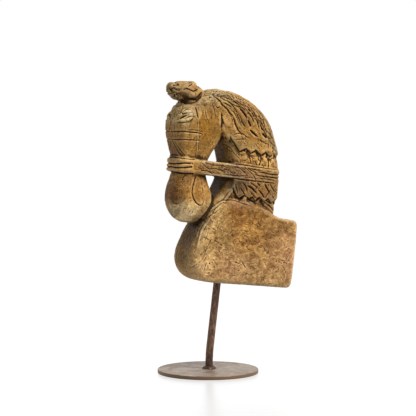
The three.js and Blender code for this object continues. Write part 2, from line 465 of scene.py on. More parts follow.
def benchObject(name, bench):
    mesh = bpy.data.meshes.new(name)
    mesh.from_pydata(toWorld(np.array([list(p) for p in bench["at"]])).tolist(), [], [])
    for key, kind in (("cutWidth", "FLOAT"), ("cutDepth", "FLOAT"), ("cutLean", "FLOAT_VECTOR")):
        giveAttribute(mesh, key, bench[key], kind)
    return newPiece(name, mesh)


def makeKnifeTree():
    tree, given = newGeometryTree("knifeCuts", {
        "Object": ["Lines"], "Float": ["Soft", "Burr", "Patina and shade", "Wobble", "Wobble scale", "Seed"],
        "Material": ["Material"]})
    rest = stored(tree, "rest", "FLOAT_VECTOR")
    noise = noiseOf(rest, given["Wobble scale"], 2.0, seed=given["Seed"], out="Color")
    here = vectorOf("ADD", rest, scaled(vectorOf("SUBTRACT", noise, (0.5, 0.5, 0.5)), given["Wobble"]))
    lines = addNode(tree, "GeometryNodeObjectInfo", {"Object": given["Lines"]}).outputs["Geometry"]
    nearest = addNode(tree, "GeometryNodeSampleNearest", {"Geometry": lines, "Sample Position": here})

    def sample(value, kind):
        values = {"Geometry": lines, "Value": value, "Index": nearest.outputs[0]}
        return addNode(tree, "GeometryNodeSampleIndex", values, data_type=kind).outputs[0]

    at = sample(addNode(tree, "GeometryNodeInputPosition").outputs[0], "FLOAT_VECTOR")
    width, depth = (sample(stored(tree, name), "FLOAT") for name in ("cutWidth", "cutDepth"))
    leanWay = sample(stored(tree, "cutLean", "FLOAT_VECTOR"), "FLOAT_VECTOR")
    gap = vectorOf("SUBTRACT", here, at)
    stretch = plus(vectorOf("DOT_PRODUCT", vectorOf("NORMALIZE", gap), leanWay, "Value"), 1.0)
    share = mathOf("DIVIDE", vectorOf("LENGTH", gap, out="Value"), times(width, stretch))
    # a straight-sided cut, a rounded hollow, and the burr that the blade leaves beside it
    straight = minus(1.0, share, clamp=True)
    rounded = spanOf(share, 1.0, 0.0)
    section = addNode(tree, "ShaderNodeMix", {0: given["Soft"], 2: straight, 3: rounded}).outputs[0]
    offRim = mathOf("ABSOLUTE", minus(share, knife["burrAt"]))
    rim = minus(1.0, times(offRim, knife["burrSlope"]), clamp=True)
    sink = times(minus(section, times(rim, given["Burr"])), depth)
    moved = moveAlong(given["Geometry"], stored(tree, "outward", "FLOAT_VECTOR"), times(sink, -1.0))
    # the cut's depth, kept as carved to darken the colour: painted shade in the cuts, and the patina they
    # hold
    sunk = times(section, depth, 1000.0)
    mark = mathOf("MAXIMUM", stored(tree, "carved"), times(sunk, given["Patina and shade"]))
    values = {"Geometry": moved, "Name": "carved", "Value": mark}
    kept = addNode(tree, "GeometryNodeStoreNamedAttribute", values, data_type="FLOAT", domain="POINT")
    endTree(tree, kept.outputs[0], given["Material"])
    return tree


def stroke(width, depth, *numbers, kind="side", lean=(0, 0)):
    # the numbers are the two coordinates of each point in turn; what stands proud has a negative depth
    return kind, list(zip(numbers[::2], numbers[1::2])), width, depth, lean


# soft forms first
forms = [
    # the hollow between the tied forelock and the brow
    stroke(3.6, 1.5, -80, 218, -66, 220.5, -59, 227, -55, 236),
    # the square shoulders of its top
    stroke(7.5, -2.9, -91, -8, -92, 0, -91, 8, kind="top"),
    stroke(8.0, -0.8, -84, -8, -83, 0, -84, 8, kind="top"),
    stroke(7.5, -2.4, -65, -10, -63, 0, -65, 10, kind="top"),
    stroke(2.4, 1.8, -57.5, -14, -57, -4, -57.5, 6, kind="top"),
    stroke(5.0, -1.2, -62, 239, -57, 235),
    # the forelock's heavy lower lip
    stroke(6.0, -1.9, -90, 229, -84, 224.5, -79, 223.5),
    stroke(7.0, -0.8, -9, 227, 0, 226, 9, 227, kind="front"),
    stroke(6.0, -2.6, -74, 230.5, -69, 228.5, -64, 229.5),
    stroke(5.0, 0.6, -83, 231, -79, 227, -74, 223.5),
    # the neck under it, and the brow's flat slope
    stroke(5.0, -2.4, -8, 217, 0, 217, 8, 217, kind="front"),
    stroke(10.0, 1.7, -16, 204, 4, 203.5, 22, 204, kind="front"),
    stroke(12.0, -1.9, -48, -4, -38, -4, -26, -4, kind="top"),
    # the cheek stands over the throat
    stroke(3.0, 0.8, -31, 212, -29.5, 205, -29, 197, -28, 190, lean=(0.5, 0)),
    # eye: the two lids, the hollow between them, and the brow
    stroke(2.6, -1.5, -85, 197.5, -82, 203, -77, 206.8, -71, 208.6),
    stroke(3.0, -1.6, -85.5, 194.5, -80, 195.8, -74, 198, -69, 201.5),
    stroke(1.8, 0.9, -83, 198.5, -79, 201.5, -75, 203.4),
    stroke(5.5, -1.2, -73, 203.5, -68, 205),
    stroke(3.4, -0.9, -81, 212, -75, 214, -68, 214.5),
    stroke(4.0, -0.6, -64, 196, -59, 203, -59, 211),
    # the petals under the upper hem
    stroke(1.6, 0.45, 14.3, 166, 14.6, 162, 16.5, 158, 18, 152),
    stroke(1.6, 0.6, 30, 165, 31.5, 161, 30.5, 156, 28.5, 151),
    stroke(1.6, 0.85, 43, 165, 42, 160, 42.5, 154, 41.5, 150),
    stroke(1.6, 0.7, 56, 165, 55, 160, 56, 152),
    stroke(6.0, -1.2, 8, 163, 10, 157),
    stroke(6.0, -1.2, 23, 163, 24, 157),
    stroke(6.0, -1.2, 37, 163, 36, 157),
    stroke(5.5, -1.2, 49, 163, 49, 157),
    # where the muzzle rests on the chest
    stroke(2.6, 0.8, -36, 78, -40, 72, -45, 69),
    # the neck swells between the mane and the throat
    stroke(7.0, -0.9, -27, 206, -18, 198, -9, 190),
    # strands of the mane
    stroke(3.0, -0.8, -29, 221, -20, 215, -12, 208, -5, 199, 2, 193),
    stroke(3.4, -0.8, -20, 226, -10, 220, -2, 211, 6, 201),
    stroke(3.4, -0.7, -12, 230, -2, 223, 8, 213, 16, 202),
]

# three cords of the strap round the nose, and the sunk lines above and below it
cordForms = [
    stroke(1.9, 1.7, 0, 142, 35, 142.6, 60, 144, 75, 144.6, kind="head"),
    stroke(1.9, 1.6, 0, 138, 35, 137.6, 60, 138.5, 80, 140.5, kind="head"),
    stroke(1.8, 1.1, 0, 150.5, 45, 150, 70, 150, 88, 150.5, kind="head"),
    stroke(1.8, 1.1, 0, 132.5, 45, 131.5, 70, 132, 88, 132.5, kind="head"),
    stroke(1.6, 1.3, 116, 142.8, 140, 143.2, 165, 143, 180, 143, kind="back"),
    stroke(1.6, 1.2, 116, 139, 140, 139, 165, 139, 180, 139, kind="back"),
]

# main cuts, by place
cuts = {
    "eye": [
        stroke(1.7, 2.8, -83, 198.2, -80.5, 200.5, -77, 202.4),
        stroke(0.8, 0.35, -77, 202.4, -73, 203.8, -68, 206.5),
        stroke(0.9, 0.5, -86, 193, -80, 193.3, -74, 195.4),
        stroke(1.1, 1.1, -83, 203.5, -82, 207, -80, 210, -77, 212),
        stroke(1.0, 0.9, -81, 204.5, -79, 207.5, -76, 211),
        stroke(1.7, 2.0, -79.5, 212.5, -78.5, 212.5),
        stroke(1.1, 1.0, -2, 196, -4, 200, -6, 205, kind="front"),
        stroke(1.0, 0.8, -6, 197, -9, 202, -10, 206, kind="front"),
        stroke(1.2, 0.9, 2, 190, 1, 196, -1, 202, -1, 209, kind="front"),
    ],
    "face": [
        stroke(1.2, 1.6, -65.5, 214.5, -64, 211, -62.5, 206, -61, 201),
        stroke(1.1, -0.5, -61, 201, -60, 196, -59, 186, -57, 169, -55, 152.5),
        stroke(1.15, 1.4, 0, 181, 30, 181.6, 60, 182.6, 90, 183, 104, 182, kind="head"),
        stroke(1.05, 1.25, 0, 171.5, 30, 172, 60, 173, 90, 174, 98, 174.5, kind="head"),
        stroke(0.9, 0.4, -74, 185.5, -64, 186, -52, 184.5, -48, 181),
        stroke(1.0, 0.9, 1.5, 197, -2, 186, -6.5, 173, kind="front"),
        stroke(1.0, 0.9, -10.5, 196, -12, 186, -14.3, 173, kind="front"),
        stroke(1.2, 1.1, -2, 171, -9.7, 160.5, -18, 151, kind="front"),
        stroke(1.1, 1.0, -9, 170.5, -15.5, 162, -19.5, 154, kind="front"),
        stroke(0.9, 0.7, -5, 170, -12.5, 160, -19, 151.5, kind="front"),
        stroke(1.0, 0.7, -37, 226, -33, 224),
        stroke(1.2, 0.8, -38, 219, -36, 217, -33, 219),
        stroke(0.9, 0.4, -52, 213, -50, 205, -46, 198),
        stroke(1.0, 0.4, -44, 224, -40, 214, -37, 203),
    ],
    "mane": [
        stroke(1.6, 1.6, -42.5, 232.5, -38.5, 230, -34, 226.5, -30, 222, -24, 218, -19, 213,
               -13.5, 208.5, lean=(-0.3, -0.3)),
        stroke(1.5, 1.3, -13.5, 208.5, -10.5, 202, -7.5, 196.5, -3, 191, 3.5, 188, 8.5, 185.5,
               lean=(-0.4, -0.3)),
        stroke(1.2, 1.3, -29, 224.5, -23.5, 222.5, -17.5, 220),
        stroke(1.2, 1.2, -26.5, 227.5, -20, 225, -14, 220),
        stroke(1.4, 1.5, -23.5, 234.5, -18.5, 230.5, -13, 227.5, -8, 224),
        stroke(1.1, 1.1, -33, 231, -28, 228, -23, 226),
        stroke(1.8, 2.1, -7.5, 221, -2, 216.5, 2, 212.5, 4.5, 209.5),
        stroke(1.8, 2.0, 7, 206.5, 10, 202, 12, 199),
        stroke(1.2, 1.2, -3, 206, 0, 202, 4, 198),
        stroke(1.0, 0.8, -10, 213.5, -6, 207, -3, 201.5),
        stroke(0.9, 0.6, -15, 216, -9, 208, -5, 200),
        stroke(2.0, 2.3, 11, 195, 15, 192.5, 22, 188, lean=(0.2, -0.4)),
        stroke(1.5, 1.6, 24, 204, 27, 198.5, 29.5, 195.5),
        stroke(2.4, 2.4, 28, 193, 31.5, 190.5, 36.5, 188),
        stroke(2.3, 2.3, 38.5, 195.5, 43, 191, 48, 188),
        stroke(1.2, 1.2, 18, 208, 21, 203, 23, 198),
        stroke(1.3, 1.4, 8, 215, 12, 210, 15, 205),
        stroke(1.4, 1.2, 40, 184, 46, 180, 52, 178),
        stroke(1.0, 0.7, 26, 185, 33, 181, 40, 179),
        stroke(1.0, 0.9, -11.5, 185.5, -6.5, 188.5, -1.5, 188.5, 3.5, 186.5),
        stroke(1.0, 0.8, -8, 180.5, -1, 182, 5, 182.5),
        stroke(1.2, 0.9, -21.5, 183, -18, 179.5),
        stroke(1.2, 0.9, -16, 184, -12, 180),
    ],
    "upperHem": [
        stroke(1.0, 0.8, -16, 183, -14, 181, -8, 176, -3.5, 171, 0, 167, lean=(-0.6, -0.5)),
        stroke(1.8, 2.4, 0.5, 166.6, 8.5, 170.8, lean=(0.1, -0.6)),
        stroke(1.8, 2.4, 16.2, 166.4, 21.8, 170.2, lean=(0.1, -0.6)),
        stroke(1.9, 2.5, 31.2, 165.2, 35.8, 169.4, lean=(0.1, -0.6)),
        stroke(1.9, 2.5, 43.8, 165.2, 48, 169, lean=(0.1, -0.6)),
        stroke(1.8, 2.0, 57.2, 165.2, 60, 168.4, lean=(0.1, -0.6)),
        stroke(0.8, 0.6, -24, 176, -14, 171, -6, 163, 2, 157, 4, 152),
        stroke(0.9, 0.8, 42.4, 158, 42.4, 154, 41.6, 150.6),
        stroke(0.7, 0.4, -18, 166, -10, 158, -4, 152),
    ],
    "strap": [
        stroke(1.6, -0.7, -46, 149.4, -30, 149.3, -10, 148.7, 10, 148.4, 40, 148),
        stroke(1.6, -0.7, -46, 134, -30, 133.8, -10, 133.9, 10, 134, 40, 134),
        stroke(1.3, 1.2, -6, 150.2, 8, 150.2, 24, 149.8, 40, 149.6, 56, 149.6, lean=(0, 0.5)),
        stroke(1.3, 1.3, -4, 133, 8, 132.6, 24, 132.4, 40, 132.4, 56, 132.6, lean=(0, -0.5)),
        stroke(1.1, 1.3, 27.5, 144, 35.5, 143.7, 44, 142.7, 53.5, 143),
        stroke(1.1, 1.3, 24, 140, 34.5, 139, 44.5, 139, 55, 139),
        stroke(0.9, 0.8, 34, 136.4, 46, 136, 56, 136),
        stroke(0.9, 0.9, 8.5, 148, 15.5, 144, 22, 139, 25.5, 134, 28.5, 131),
        stroke(1.0, 0.8, 12, 148.5, 19, 145, 27, 142),
        stroke(0.9, 0.7, 14, 148, 24, 146, 34, 146.5),
        stroke(0.8, 0.6, -48, 146, -40, 141, -30, 142, -18, 138),
        stroke(0.8, 0.7, -50, 137, -42, 138, -34, 134.5),
        stroke(0.8, 0.6, -44, 148, -34, 146, -22, 146.5, -10, 144),
        stroke(1.3, 1.4, -38, 137, -34, 134.5),
        stroke(0.9, 0.7, -28, 144, -22, 141, -14, 142, -4, 138),
        stroke(0.9, 0.7, -18, 136, -8, 136, 4, 136.5, 14, 138),
        stroke(1.0, 0.7, -6, 147, 2, 146, 9, 142, 14, 137),
        stroke(1.8, 2.2, -62.5, 144.5, -61.5, 144.7),
    ],
    "underStrap": [
        stroke(2.0, 2.0, 15.5, 125.5, 22.5, 122.5, 29, 117.5),
        stroke(1.4, 1.3, 17, 111.5, 21, 108.5, 27.5, 105.5),
        stroke(1.4, 1.5, 27.5, 131.5, 33, 126),
        stroke(1.7, 1.8, 38.5, 131, 43, 124.5, 48.5, 119),
        stroke(1.4, 1.3, 8, 129, 13, 124, 16, 118),
        stroke(1.1, 1.0, 18, 131, 24, 127, 31, 123),
        stroke(1.3, 1.3, 20, 118.5, 26, 113.5, 30, 110),
        stroke(1.4, 1.4, 31, 122, 37, 117, 41, 112),
        stroke(1.3, 1.3, 46, 131, 51, 126, 56, 121),
        stroke(1.0, 0.9, 35, 131, 29, 125, 26, 120),
        stroke(1.2, 1.1, 49, 123, 44, 117, 42, 112),
        stroke(1.2, 1.1, 6, 122, 11, 116, 15, 111),
        stroke(1.1, 0.9, -2, 126, 1, 120, 3, 114),
        stroke(1.3, 1.3, 52, 117, 57, 112),
    ],
    "lowerHem": [
        stroke(1.2, 1.1, -4, 121, -2, 116, 1.5, 112.4, lean=(-0.6, -0.3)),
        stroke(2.1, 2.5, 6.8, 108.6, 12.5, 113, lean=(0.2, -0.6)),
        stroke(1.7, 1.8, 20.8, 109.6, 24.6, 112.6, lean=(0.2, -0.6)),
        stroke(2.2, 2.7, 29.2, 107.8, 33.5, 112.8, lean=(0.2, -0.6)),
        stroke(2.2, 2.7, 41.8, 107.8, 46, 112.2, lean=(0.2, -0.6)),
        stroke(2.0, 2.4, 53.2, 107, 58, 110.6, lean=(0.2, -0.6)),
        stroke(1.5, 1.6, 43, 107, 49.7, 103.7, 56, 101, 59.5, 97, 60, 91),
        stroke(1.1, 0.8, 38, 104, 46, 101, 53, 97, 57, 91),
        stroke(1.3, 0.6, -14, 104, -2, 105.5, 10, 103, 22, 101),
    ],
    "muzzle": [
        stroke(1.25, 1.5, -53.4, 131, -55, 126.5, -56.6, 121, -58, 115, -58.2, 109, -56.8, 103.8,
               -53.8, 99.6, -49, 95.5, -44.5, 95, -42, 97.3, -41.5, 101),
        stroke(1.0, 0.7, -67, 130, -69.7, 126, -70, 121.5),
        stroke(0.9, 0.4, -48, 130, -45.5, 122, -44, 112, -43, 106),
        stroke(2.2, 0.6, -78, 97.5, -75.5, 93.5, -71.5, 94),
    ],
    "chest": [
        stroke(2.2, -1.2, -3.5, 118.5, -7, 113, -10.5, 107, -13.5, 103, -20.5, 98, -28, 90),
        stroke(2.4, -0.9, -15, 101, -25, 88, -33, 76, -39, 65, -43, 52, -45, 40),
        stroke(2.0, -0.8, -31, 88, -38, 76, -44, 64, -48, 52, -50.5, 40),
        stroke(0.9, 0.4, -22, 90, -33, 80, -41, 68, -46, 54),
    ],
}

# the near side of the tied forelock
nearForelock = [
    # the slot behind its front corner, and the lip under it
    stroke(1.2, 1.5, -92, 237.6, -88.5, 238.6, -84.5, 239),
    stroke(1.9, 3.2, -91.4, 237.2, -89.4, 237.6),
    stroke(1.9, 3.2, -87.4, 239.6, -84.8, 240),
    stroke(1.4, -1.0, -94, 235, -90, 235.6, -84, 235.6),
    stroke(1.3, 1.7, -95.5, 233.6, -93, 232.2, -91.8, 230.6),
    stroke(1.7, 2.0, -92, 229.8, -90.8, 229),
    stroke(1.3, 0.8, -90, 233.4, -86.5, 232.4, -83.5, 233.2),
    stroke(1.3, 1.0, -93.5, 227.5, -91, 225.5),
    stroke(1.4, 1.0, -88.5, 227, -86.5, 223.4),
    # the notched edge of the lobe, and the way round it
    stroke(1.3, 2.1, -80, 233.8, -77, 235.8, -74.5, 235.5, -71.5, 234.2, -68, 233.4, -64.5, 234.6,
           -61, 237.4, lean=(0, 0.4)),
    stroke(1.8, 1.5, -77.3, 235.9, -74.4, 235.6),
    stroke(1.5, 1.7, -57.5, 233, -59.3, 229.5, -62.5, 226),
    stroke(1.5, 1.9, -70.5, 223.8, -66.5, 223.2, -62.5, 224.3),
    stroke(0.9, 0.5, -73, 231.5, -70, 228),
    stroke(0.9, 0.5, -64, 231.5, -65.5, 228),
    # the curl on top
    stroke(1.3, 1.5, -71.8, 243.4, -70, 244.3, -67.8, 243.8),
    stroke(1.2, 1.3, -67.5, 242.9, -70, 241.4, -74.5, 238.7),
    stroke(1.1, 0.9, -65.5, 241.8, -63.5, 240.8),
    # behind it
    stroke(2.0, 2.7, -61.6, 240.3, -60, 238.2),
    stroke(1.5, 2.0, -60, 238.5, -56.5, 237.8, -53, 236.2),
    stroke(1.6, 1.0, -80, 218, -74, 217.5, -68, 220, -63, 222),
]
# the far side of the forelock, and its worn front end
farForelock = [
    stroke(1.4, 1.8, -90, 241, -84, 238.5, -78, 240, -72, 238),
    stroke(1.5, 1.9, -92, 234.5, -85, 233, -80, 234.5, -74, 232.5, -66, 235),
    stroke(1.4, 1.5, -88, 229, -82, 227.5, -76, 229.5, -69, 228),
    stroke(1.6, 1.7, -64, 240, -60, 237, -57, 233, -61, 228),
    stroke(1.5, 1.2, -84, 224, -76, 222.5, -68, 224),
]
endForelock = [
    stroke(1.3, 1.4, -2, 243, -4, 239, -1, 235, -3, 230, kind="front"),
    stroke(1.3, 1.5, 4, 242, 6, 238, 3, 233, 5, 228, kind="front"),
    stroke(1.2, 1.2, -9, 236, -6, 232, -8, 227, kind="front"),
    stroke(1.2, 1.2, 10, 237, 9, 232, 11, 228, kind="front"),
    stroke(1.4, 1.4, -10, 230, -3, 227.5, 4, 229, 10, 226, kind="front"),
]

# chisel marks in staggered rows round the crest, and the rougher hatching under the strap
crestHatch = {
    "seed": 11,
    "rows": [0, 12, 24, 36, 48, 60, 72],
    "gaps": {60: 0.3, 72: 0.7},  # the share of marks left out in the lowest rows
    "from": 82.0,
    "to": 216.0,
    "pitch": 5.0,
    "pitchSpread": (0.75, 1.3),
    "length": (4.0, 8.0),
    "width": (1.1, 1.7),
    "depth": (1.2, 2.4),
    "slopeSteps": (-4, 4),
    "slopeShift": 48,
    "follow": 0.5,
    "slant": 8.0,
    "turnSpread": (-14, 14),
    "tiltSpread": (-4, 4),
    "lean": ((-0.4, 0.4), (-0.5, 0.2)),
}
crestStrands = {
    "seed": 13,
    "rows": [6 + 5.2 * row for row in range(14)],
    "from": 86.0,
    "to": 230.0,
    "length": (9.0, 24.0),
    "lateStart": (0, 14),
    "gap": (0.5, 4.0),
    "width": (0.8, 1.35),
    "depth": (0.9, 2.0),
    "drift": 0.22,
    "driftSpread": (-0.6, 1.6),
    "tiltSpread": (-2, 2),
}
underHatch = {
    "seed": 12,
    "rows": [0, 9, 18, 27, 36, 45, 54],
    "from": 27.0,
    "to": 50.0,
    "pitch": 4.0,
    "pitchSpread": (0.8, 1.2),
    "tiltSpread": (-4, 4),
    "steepness": (0.6, 1.1),
    "reach": (2.4, 4.2),
    "width": (1.1, 1.6),
    "depth": (0.7, 1.3),
}
degreesPerMm = 2.2
temple = {"lowestTilt": 74, "starts": 190, "rise": 0.9}


def overTemple(along, tilt):
    # towards the forelock the marks keep nearer to the top
    return tilt > temple["lowestTilt"] - temple["rise"] * max(along - temple["starts"], 0)


def hatchCrest(bench, rng):
    given = crestHatch
    for side in (-1, 1):
        for row in given["rows"]:
            if row == 0 and side == 1:
                continue
            along = given["from"] + rng.uniform(0, given["pitch"])
            while along < given["to"]:
                along += given["pitch"] * rng.uniform(*given["pitchSpread"])
                if row in given["gaps"] and rng.random() < given["gaps"][row]:
                    continue
                # the marks turn with the crest by a share of its slope
                before, after = (alongNeck(along + step, neckBack) for step in given["slopeSteps"])
                stepX, stepZ = before - after
                slope = math.degrees(math.atan2(stepZ, stepX)) + given["slopeShift"]
                turn = given["follow"] * slope + given["slant"] + rng.uniform(*given["turnSpread"])
                turn = math.radians(turn)
                length = rng.uniform(*given["length"])
                tilt = row + rng.uniform(*given["tiltSpread"])
                half = (length / 2 * math.cos(turn), length / 2 * math.sin(turn) * degreesPerMm)
                line = [(along + half[0], tilt - half[1]), (along, tilt + rng.uniform(-1, 1)),
                        (along - half[0], tilt + half[1])]
                lean = [rng.uniform(*span) for span in given["lean"]]
                width, depth = rng.uniform(*given["width"]), rng.uniform(*given["depth"])
                if not overTemple(along, tilt):
                    layLine(bench, side, "crest", line, width, depth, lean)


def hatchStrands(bench, rng):
    given = crestStrands
    for side in (-1, 1):
        for row in given["rows"]:
            along = given["from"] + rng.uniform(*given["lateStart"])
            while along < given["to"]:
                length = rng.uniform(*given["length"])
                middle = along + length / 2
                tilt = row + rng.uniform(*given["tiltSpread"])
                swing = given["drift"] * length * rng.uniform(*given["driftSpread"])
                line = [(along, tilt + swing), (middle, tilt + rng.uniform(-1.5, 1.5)),
                        (along + length, tilt - swing)]
                width, depth = rng.uniform(*given["width"]), rng.uniform(*given["depth"])
                if not overTemple(middle, tilt):
                    layLine(bench, side, "crest", line, width, depth)
                along += length + rng.uniform(*given["gap"])


def hatchUnderStrap(bench, rng):
    given = underHatch
    for side in (-1, 1):
        for row in given["rows"]:
            along = given["from"]
            while along < given["to"]:
                along += given["pitch"] * rng.uniform(*given["pitchSpread"])
                tilt = row + rng.uniform(*given["tiltSpread"])
                reach = rng.uniform(*given["reach"])
                rise = reach * rng.choice((-1, 1, 1)) * degreesPerMm * rng.uniform(*given["steepness"])
                layLine(bench, side, "crest", [(along + reach, tilt - rise), (along - reach, tilt + rise)],
                        rng.uniform(*given["width"]), rng.uniform(*given["depth"]))


# worm holes, checks and knocks, scattered where the real wood has them: place, how many, width, depth
scatter = {
    "seed": 21,
    "pits": [
        ("side", (-93, -84), (224, 236), 5, (1.2, 2.0), (0.6, 1.1)),
        ("front", (-10, 10), (224, 237), 8, (1.2, 2.0), (0.6, 1.2)),
        ("side", (-80, -66), (100, 128), 60, (0.6, 1.1), (0.25, 0.6)),
        ("front", (-16, 16), (98, 128), 60, (0.6, 1.1), (0.25, 0.6)),
        ("side", (-40, 105), (4, 80), 44, (0.8, 1.6), (0.3, 0.8)),
        ("side", (-58, 55), (135, 148), 40, (0.9, 1.5), (0.4, 0.8)),
        ("side", (-78, -10), (150, 230), 26, (0.8, 1.3), (0.25, 0.6)),
        ("side", (-2, 60), (108, 130), 26, (0.9, 1.5), (0.4, 0.8)),
        ("side", (-52, -36), (216, 238), 16, (0.7, 1.3), (0.3, 0.7)),
        ("side", (-20, 58), (150, 232), 40, (0.8, 1.4), (0.3, 0.8)),
        ("rear", (-24, 24), (4, 70), 30, (0.8, 1.6), (0.3, 0.8)),
        ("front", (-20, 20), (8, 72), 24, (0.8, 1.6), (0.3, 0.7)),
        ("top", (70, 106), (-24, 24), 16, (0.8, 1.6), (0.3, 0.8)),
        ("under", (-40, 100), (-24, 24), 40, (0.8, 1.6), (0.3, 0.8)),
    ],
    "scratches": [
        ("side", (-95, -78), (224, 240), 16, (4, 9), (-50, 15), (0.7, 1.3), (0.5, 1.1)),
        ("front", (-12, 12), (224, 240), 14, (4, 9), (-40, 40), (0.7, 1.3), (0.5, 1.1)),
        ("side", (-74, -58), (226, 243), 10, (3, 7), (-30, 30), (0.6, 1.0), (0.3, 0.7)),
        ("side", (-36, 104), (6, 86), 46, (3, 11), (-70, 10), (0.6, 1.0), (0.2, 0.45)),
        ("side", (-50, 56), (135, 148), 130, (3, 9), (-48, 2), (0.5, 0.8), (0.3, 0.8)),
        ("side", (-76, -42), (84, 128), 22, (3, 9), (60, 110), (0.5, 0.8), (0.15, 0.35)),
        ("side", (-80, -32), (152, 214), 26, (3, 10), (60, 115), (0.5, 0.8), (0.15, 0.35)),
        ("side", (-26, 50), (152, 226), 30, (3, 8), (-80, -20), (0.6, 1.0), (0.3, 0.7)),
        ("front", (-22, 22), (10, 78), 60, (5, 18), (60, 120), (0.5, 1.1), (0.2, 0.6)),
        ("side", (-52, -28), (14, 90), 26, (5, 16), (50, 80), (0.5, 0.9), (0.2, 0.5)),
        ("front", (-15, 15), (186, 216), 20, (4, 10), (60, 120), (0.5, 0.9), (0.2, 0.5)),
        ("rear", (-24, 24), (4, 70), 22, (4, 14), (75, 105), (0.5, 0.9), (0.2, 0.45)),
        ("under", (-40, 100), (-24, 24), 26, (4, 12), (-30, 30), (0.5, 0.9), (0.2, 0.45)),
    ],
}


def scatterMarks(bench, rng):
    for kind, acrossSpan, upSpan, count, widths, depths in scatter["pits"]:
        for side in (-1, 1) if kind == "side" else (-1,):
            for _ in range(count):
                spot = (rng.uniform(*acrossSpan), rng.uniform(*upSpan))
                layLine(bench, side, kind, [spot], rng.uniform(*widths), rng.uniform(*depths))
    for kind, acrossSpan, upSpan, count, lengths, turns, widths, depths in scatter["scratches"]:
        for side in (-1, 1) if kind == "side" else (-1,):
            for _ in range(count):
                spot = np.array([rng.uniform(*acrossSpan), rng.uniform(*upSpan)])
                turn = math.radians(rng.uniform(*turns))
                half = rng.uniform(*lengths) / 2 * np.array([math.cos(turn), math.sin(turn)])
                bow = rng.uniform(-0.5, 0.5) * np.array([-math.sin(turn), math.cos(turn)])
                layLine(bench, side, kind, [spot - half, spot + bow, spot + half], rng.uniform(*widths),
                        rng.uniform(*depths))


wear = {
    "Dent size": 0.016,
    "Dent depth": 0.0011,
    "Tooth size": 0.0034,
    "Tooth depth": 0.00042,
    "Pore size": 0.0031,
    "Pore depth": 0.00035,
    "Seed": 5.0,
}


def makeWearTree():
    # dents from years in the water, a finer tooth, and pores where a noise allows them
    tree, given = newGeometryTree("waterWear", {
        "Float": [*wear],
        "Material": ["Material"]})
    rest = stored(tree, "rest", "FLOAT_VECTOR")

    def swell(name, detail):
        scale = mathOf("DIVIDE", 1.0, given[name + " size"])
        value = noiseOf(rest, scale, detail, 0.55, seed=given["Seed"])
        return times(minus(value, 0.5), given[name + " depth"]), value

    dents, dentValue = swell("Dent", 1.5)
    tooth = swell("Tooth", 3.0)[0]
    pore = spanOf(cellsOf(rest, mathOf("DIVIDE", 1.0, given["Pore size"])), 0.34, 0.05)
    allowed = spanOf(dentValue, 0.5, 0.62, kind="LINEAR")
    height = minus(plus(dents, tooth), times(pore, allowed, given["Pore depth"]))
    moved = moveAlong(given["Geometry"], stored(tree, "outward", "FLOAT_VECTOR"), height)
    endTree(tree, moved, given["Material"])
    return tree


driftwood = bpy.data.materials.new("waxedDriftwood")
driftwood.use_nodes = True

# how each pass cuts: softness, burr, how much it darkens the cut (painted shade and patina), and how far
# and how finely its lines waver
passes = {
    "forms": (1.0, 0.0, 0.0, 0.0008, 110.0),
    "cords": (1.0, 0.0, 0.55, 0.0009, 90.0),
    "hatching": (0.25, 0.14, 1.0, 0.0012, 320.0),
    "cuts": (0.15, 0.12, 0.9, 0.0009, 260.0),
    "knocks": (0.6, 0.02, 0.5, 0.0012, 420.0),
}


def layBenches():
    # a bench holds the points of one pass, with their width, depth and lean
    benches = {name: {key: [] for key in ("at", "cutWidth", "cutDepth", "cutLean")} for name in passes}
    layBoth(benches["forms"], forms, random.Random(knife["formSeed"]))
    layOn(benches["cords"], cordForms, -1, 1, taper=0)
    layOn(benches["cuts"], nearForelock + endForelock, -1)
    layOn(benches["cuts"], farForelock, 1)
    cutRandom = random.Random(knife["cutSeed"])
    for place in cuts.values():
        layBoth(benches["cuts"], place, cutRandom)
    hatchCrest(benches["hatching"], random.Random(crestHatch["seed"]))
    hatchStrands(benches["hatching"], random.Random(crestStrands["seed"]))
    hatchUnderStrap(benches["hatching"], random.Random(underHatch["seed"]))
    scatterMarks(benches["knocks"], random.Random(scatter["seed"]))
    print("lines laid:", [len(bench["at"]) for bench in benches.values()])
    return benches


benches = layBenches()
giveAttribute(horse.data, "carved", np.zeros(len(horse.data.vertices)))
knifeTree = makeKnifeTree()
wearTree = makeWearTree()
lineObjects = []
for seed, (name, values) in enumerate(passes.items()):
    lines = benchObject(name + "Lines", benches[name])
    lineObjects.append(lines)
    runTree(horse, knifeTree, {"Lines": lines, "Seed": float(seed), "Material": driftwood,
                               **dict(zip(("Soft", "Burr", "Patina and shade", "Wobble", "Wobble scale"), values))})
    print("carved:", name)
runTree(horse, wearTree, {"Material": driftwood, **wear})
for lines in lineObjects:
    bpy.data.meshes.remove(lines.data)
print("carved: wear, points", len(horse.data.vertices))
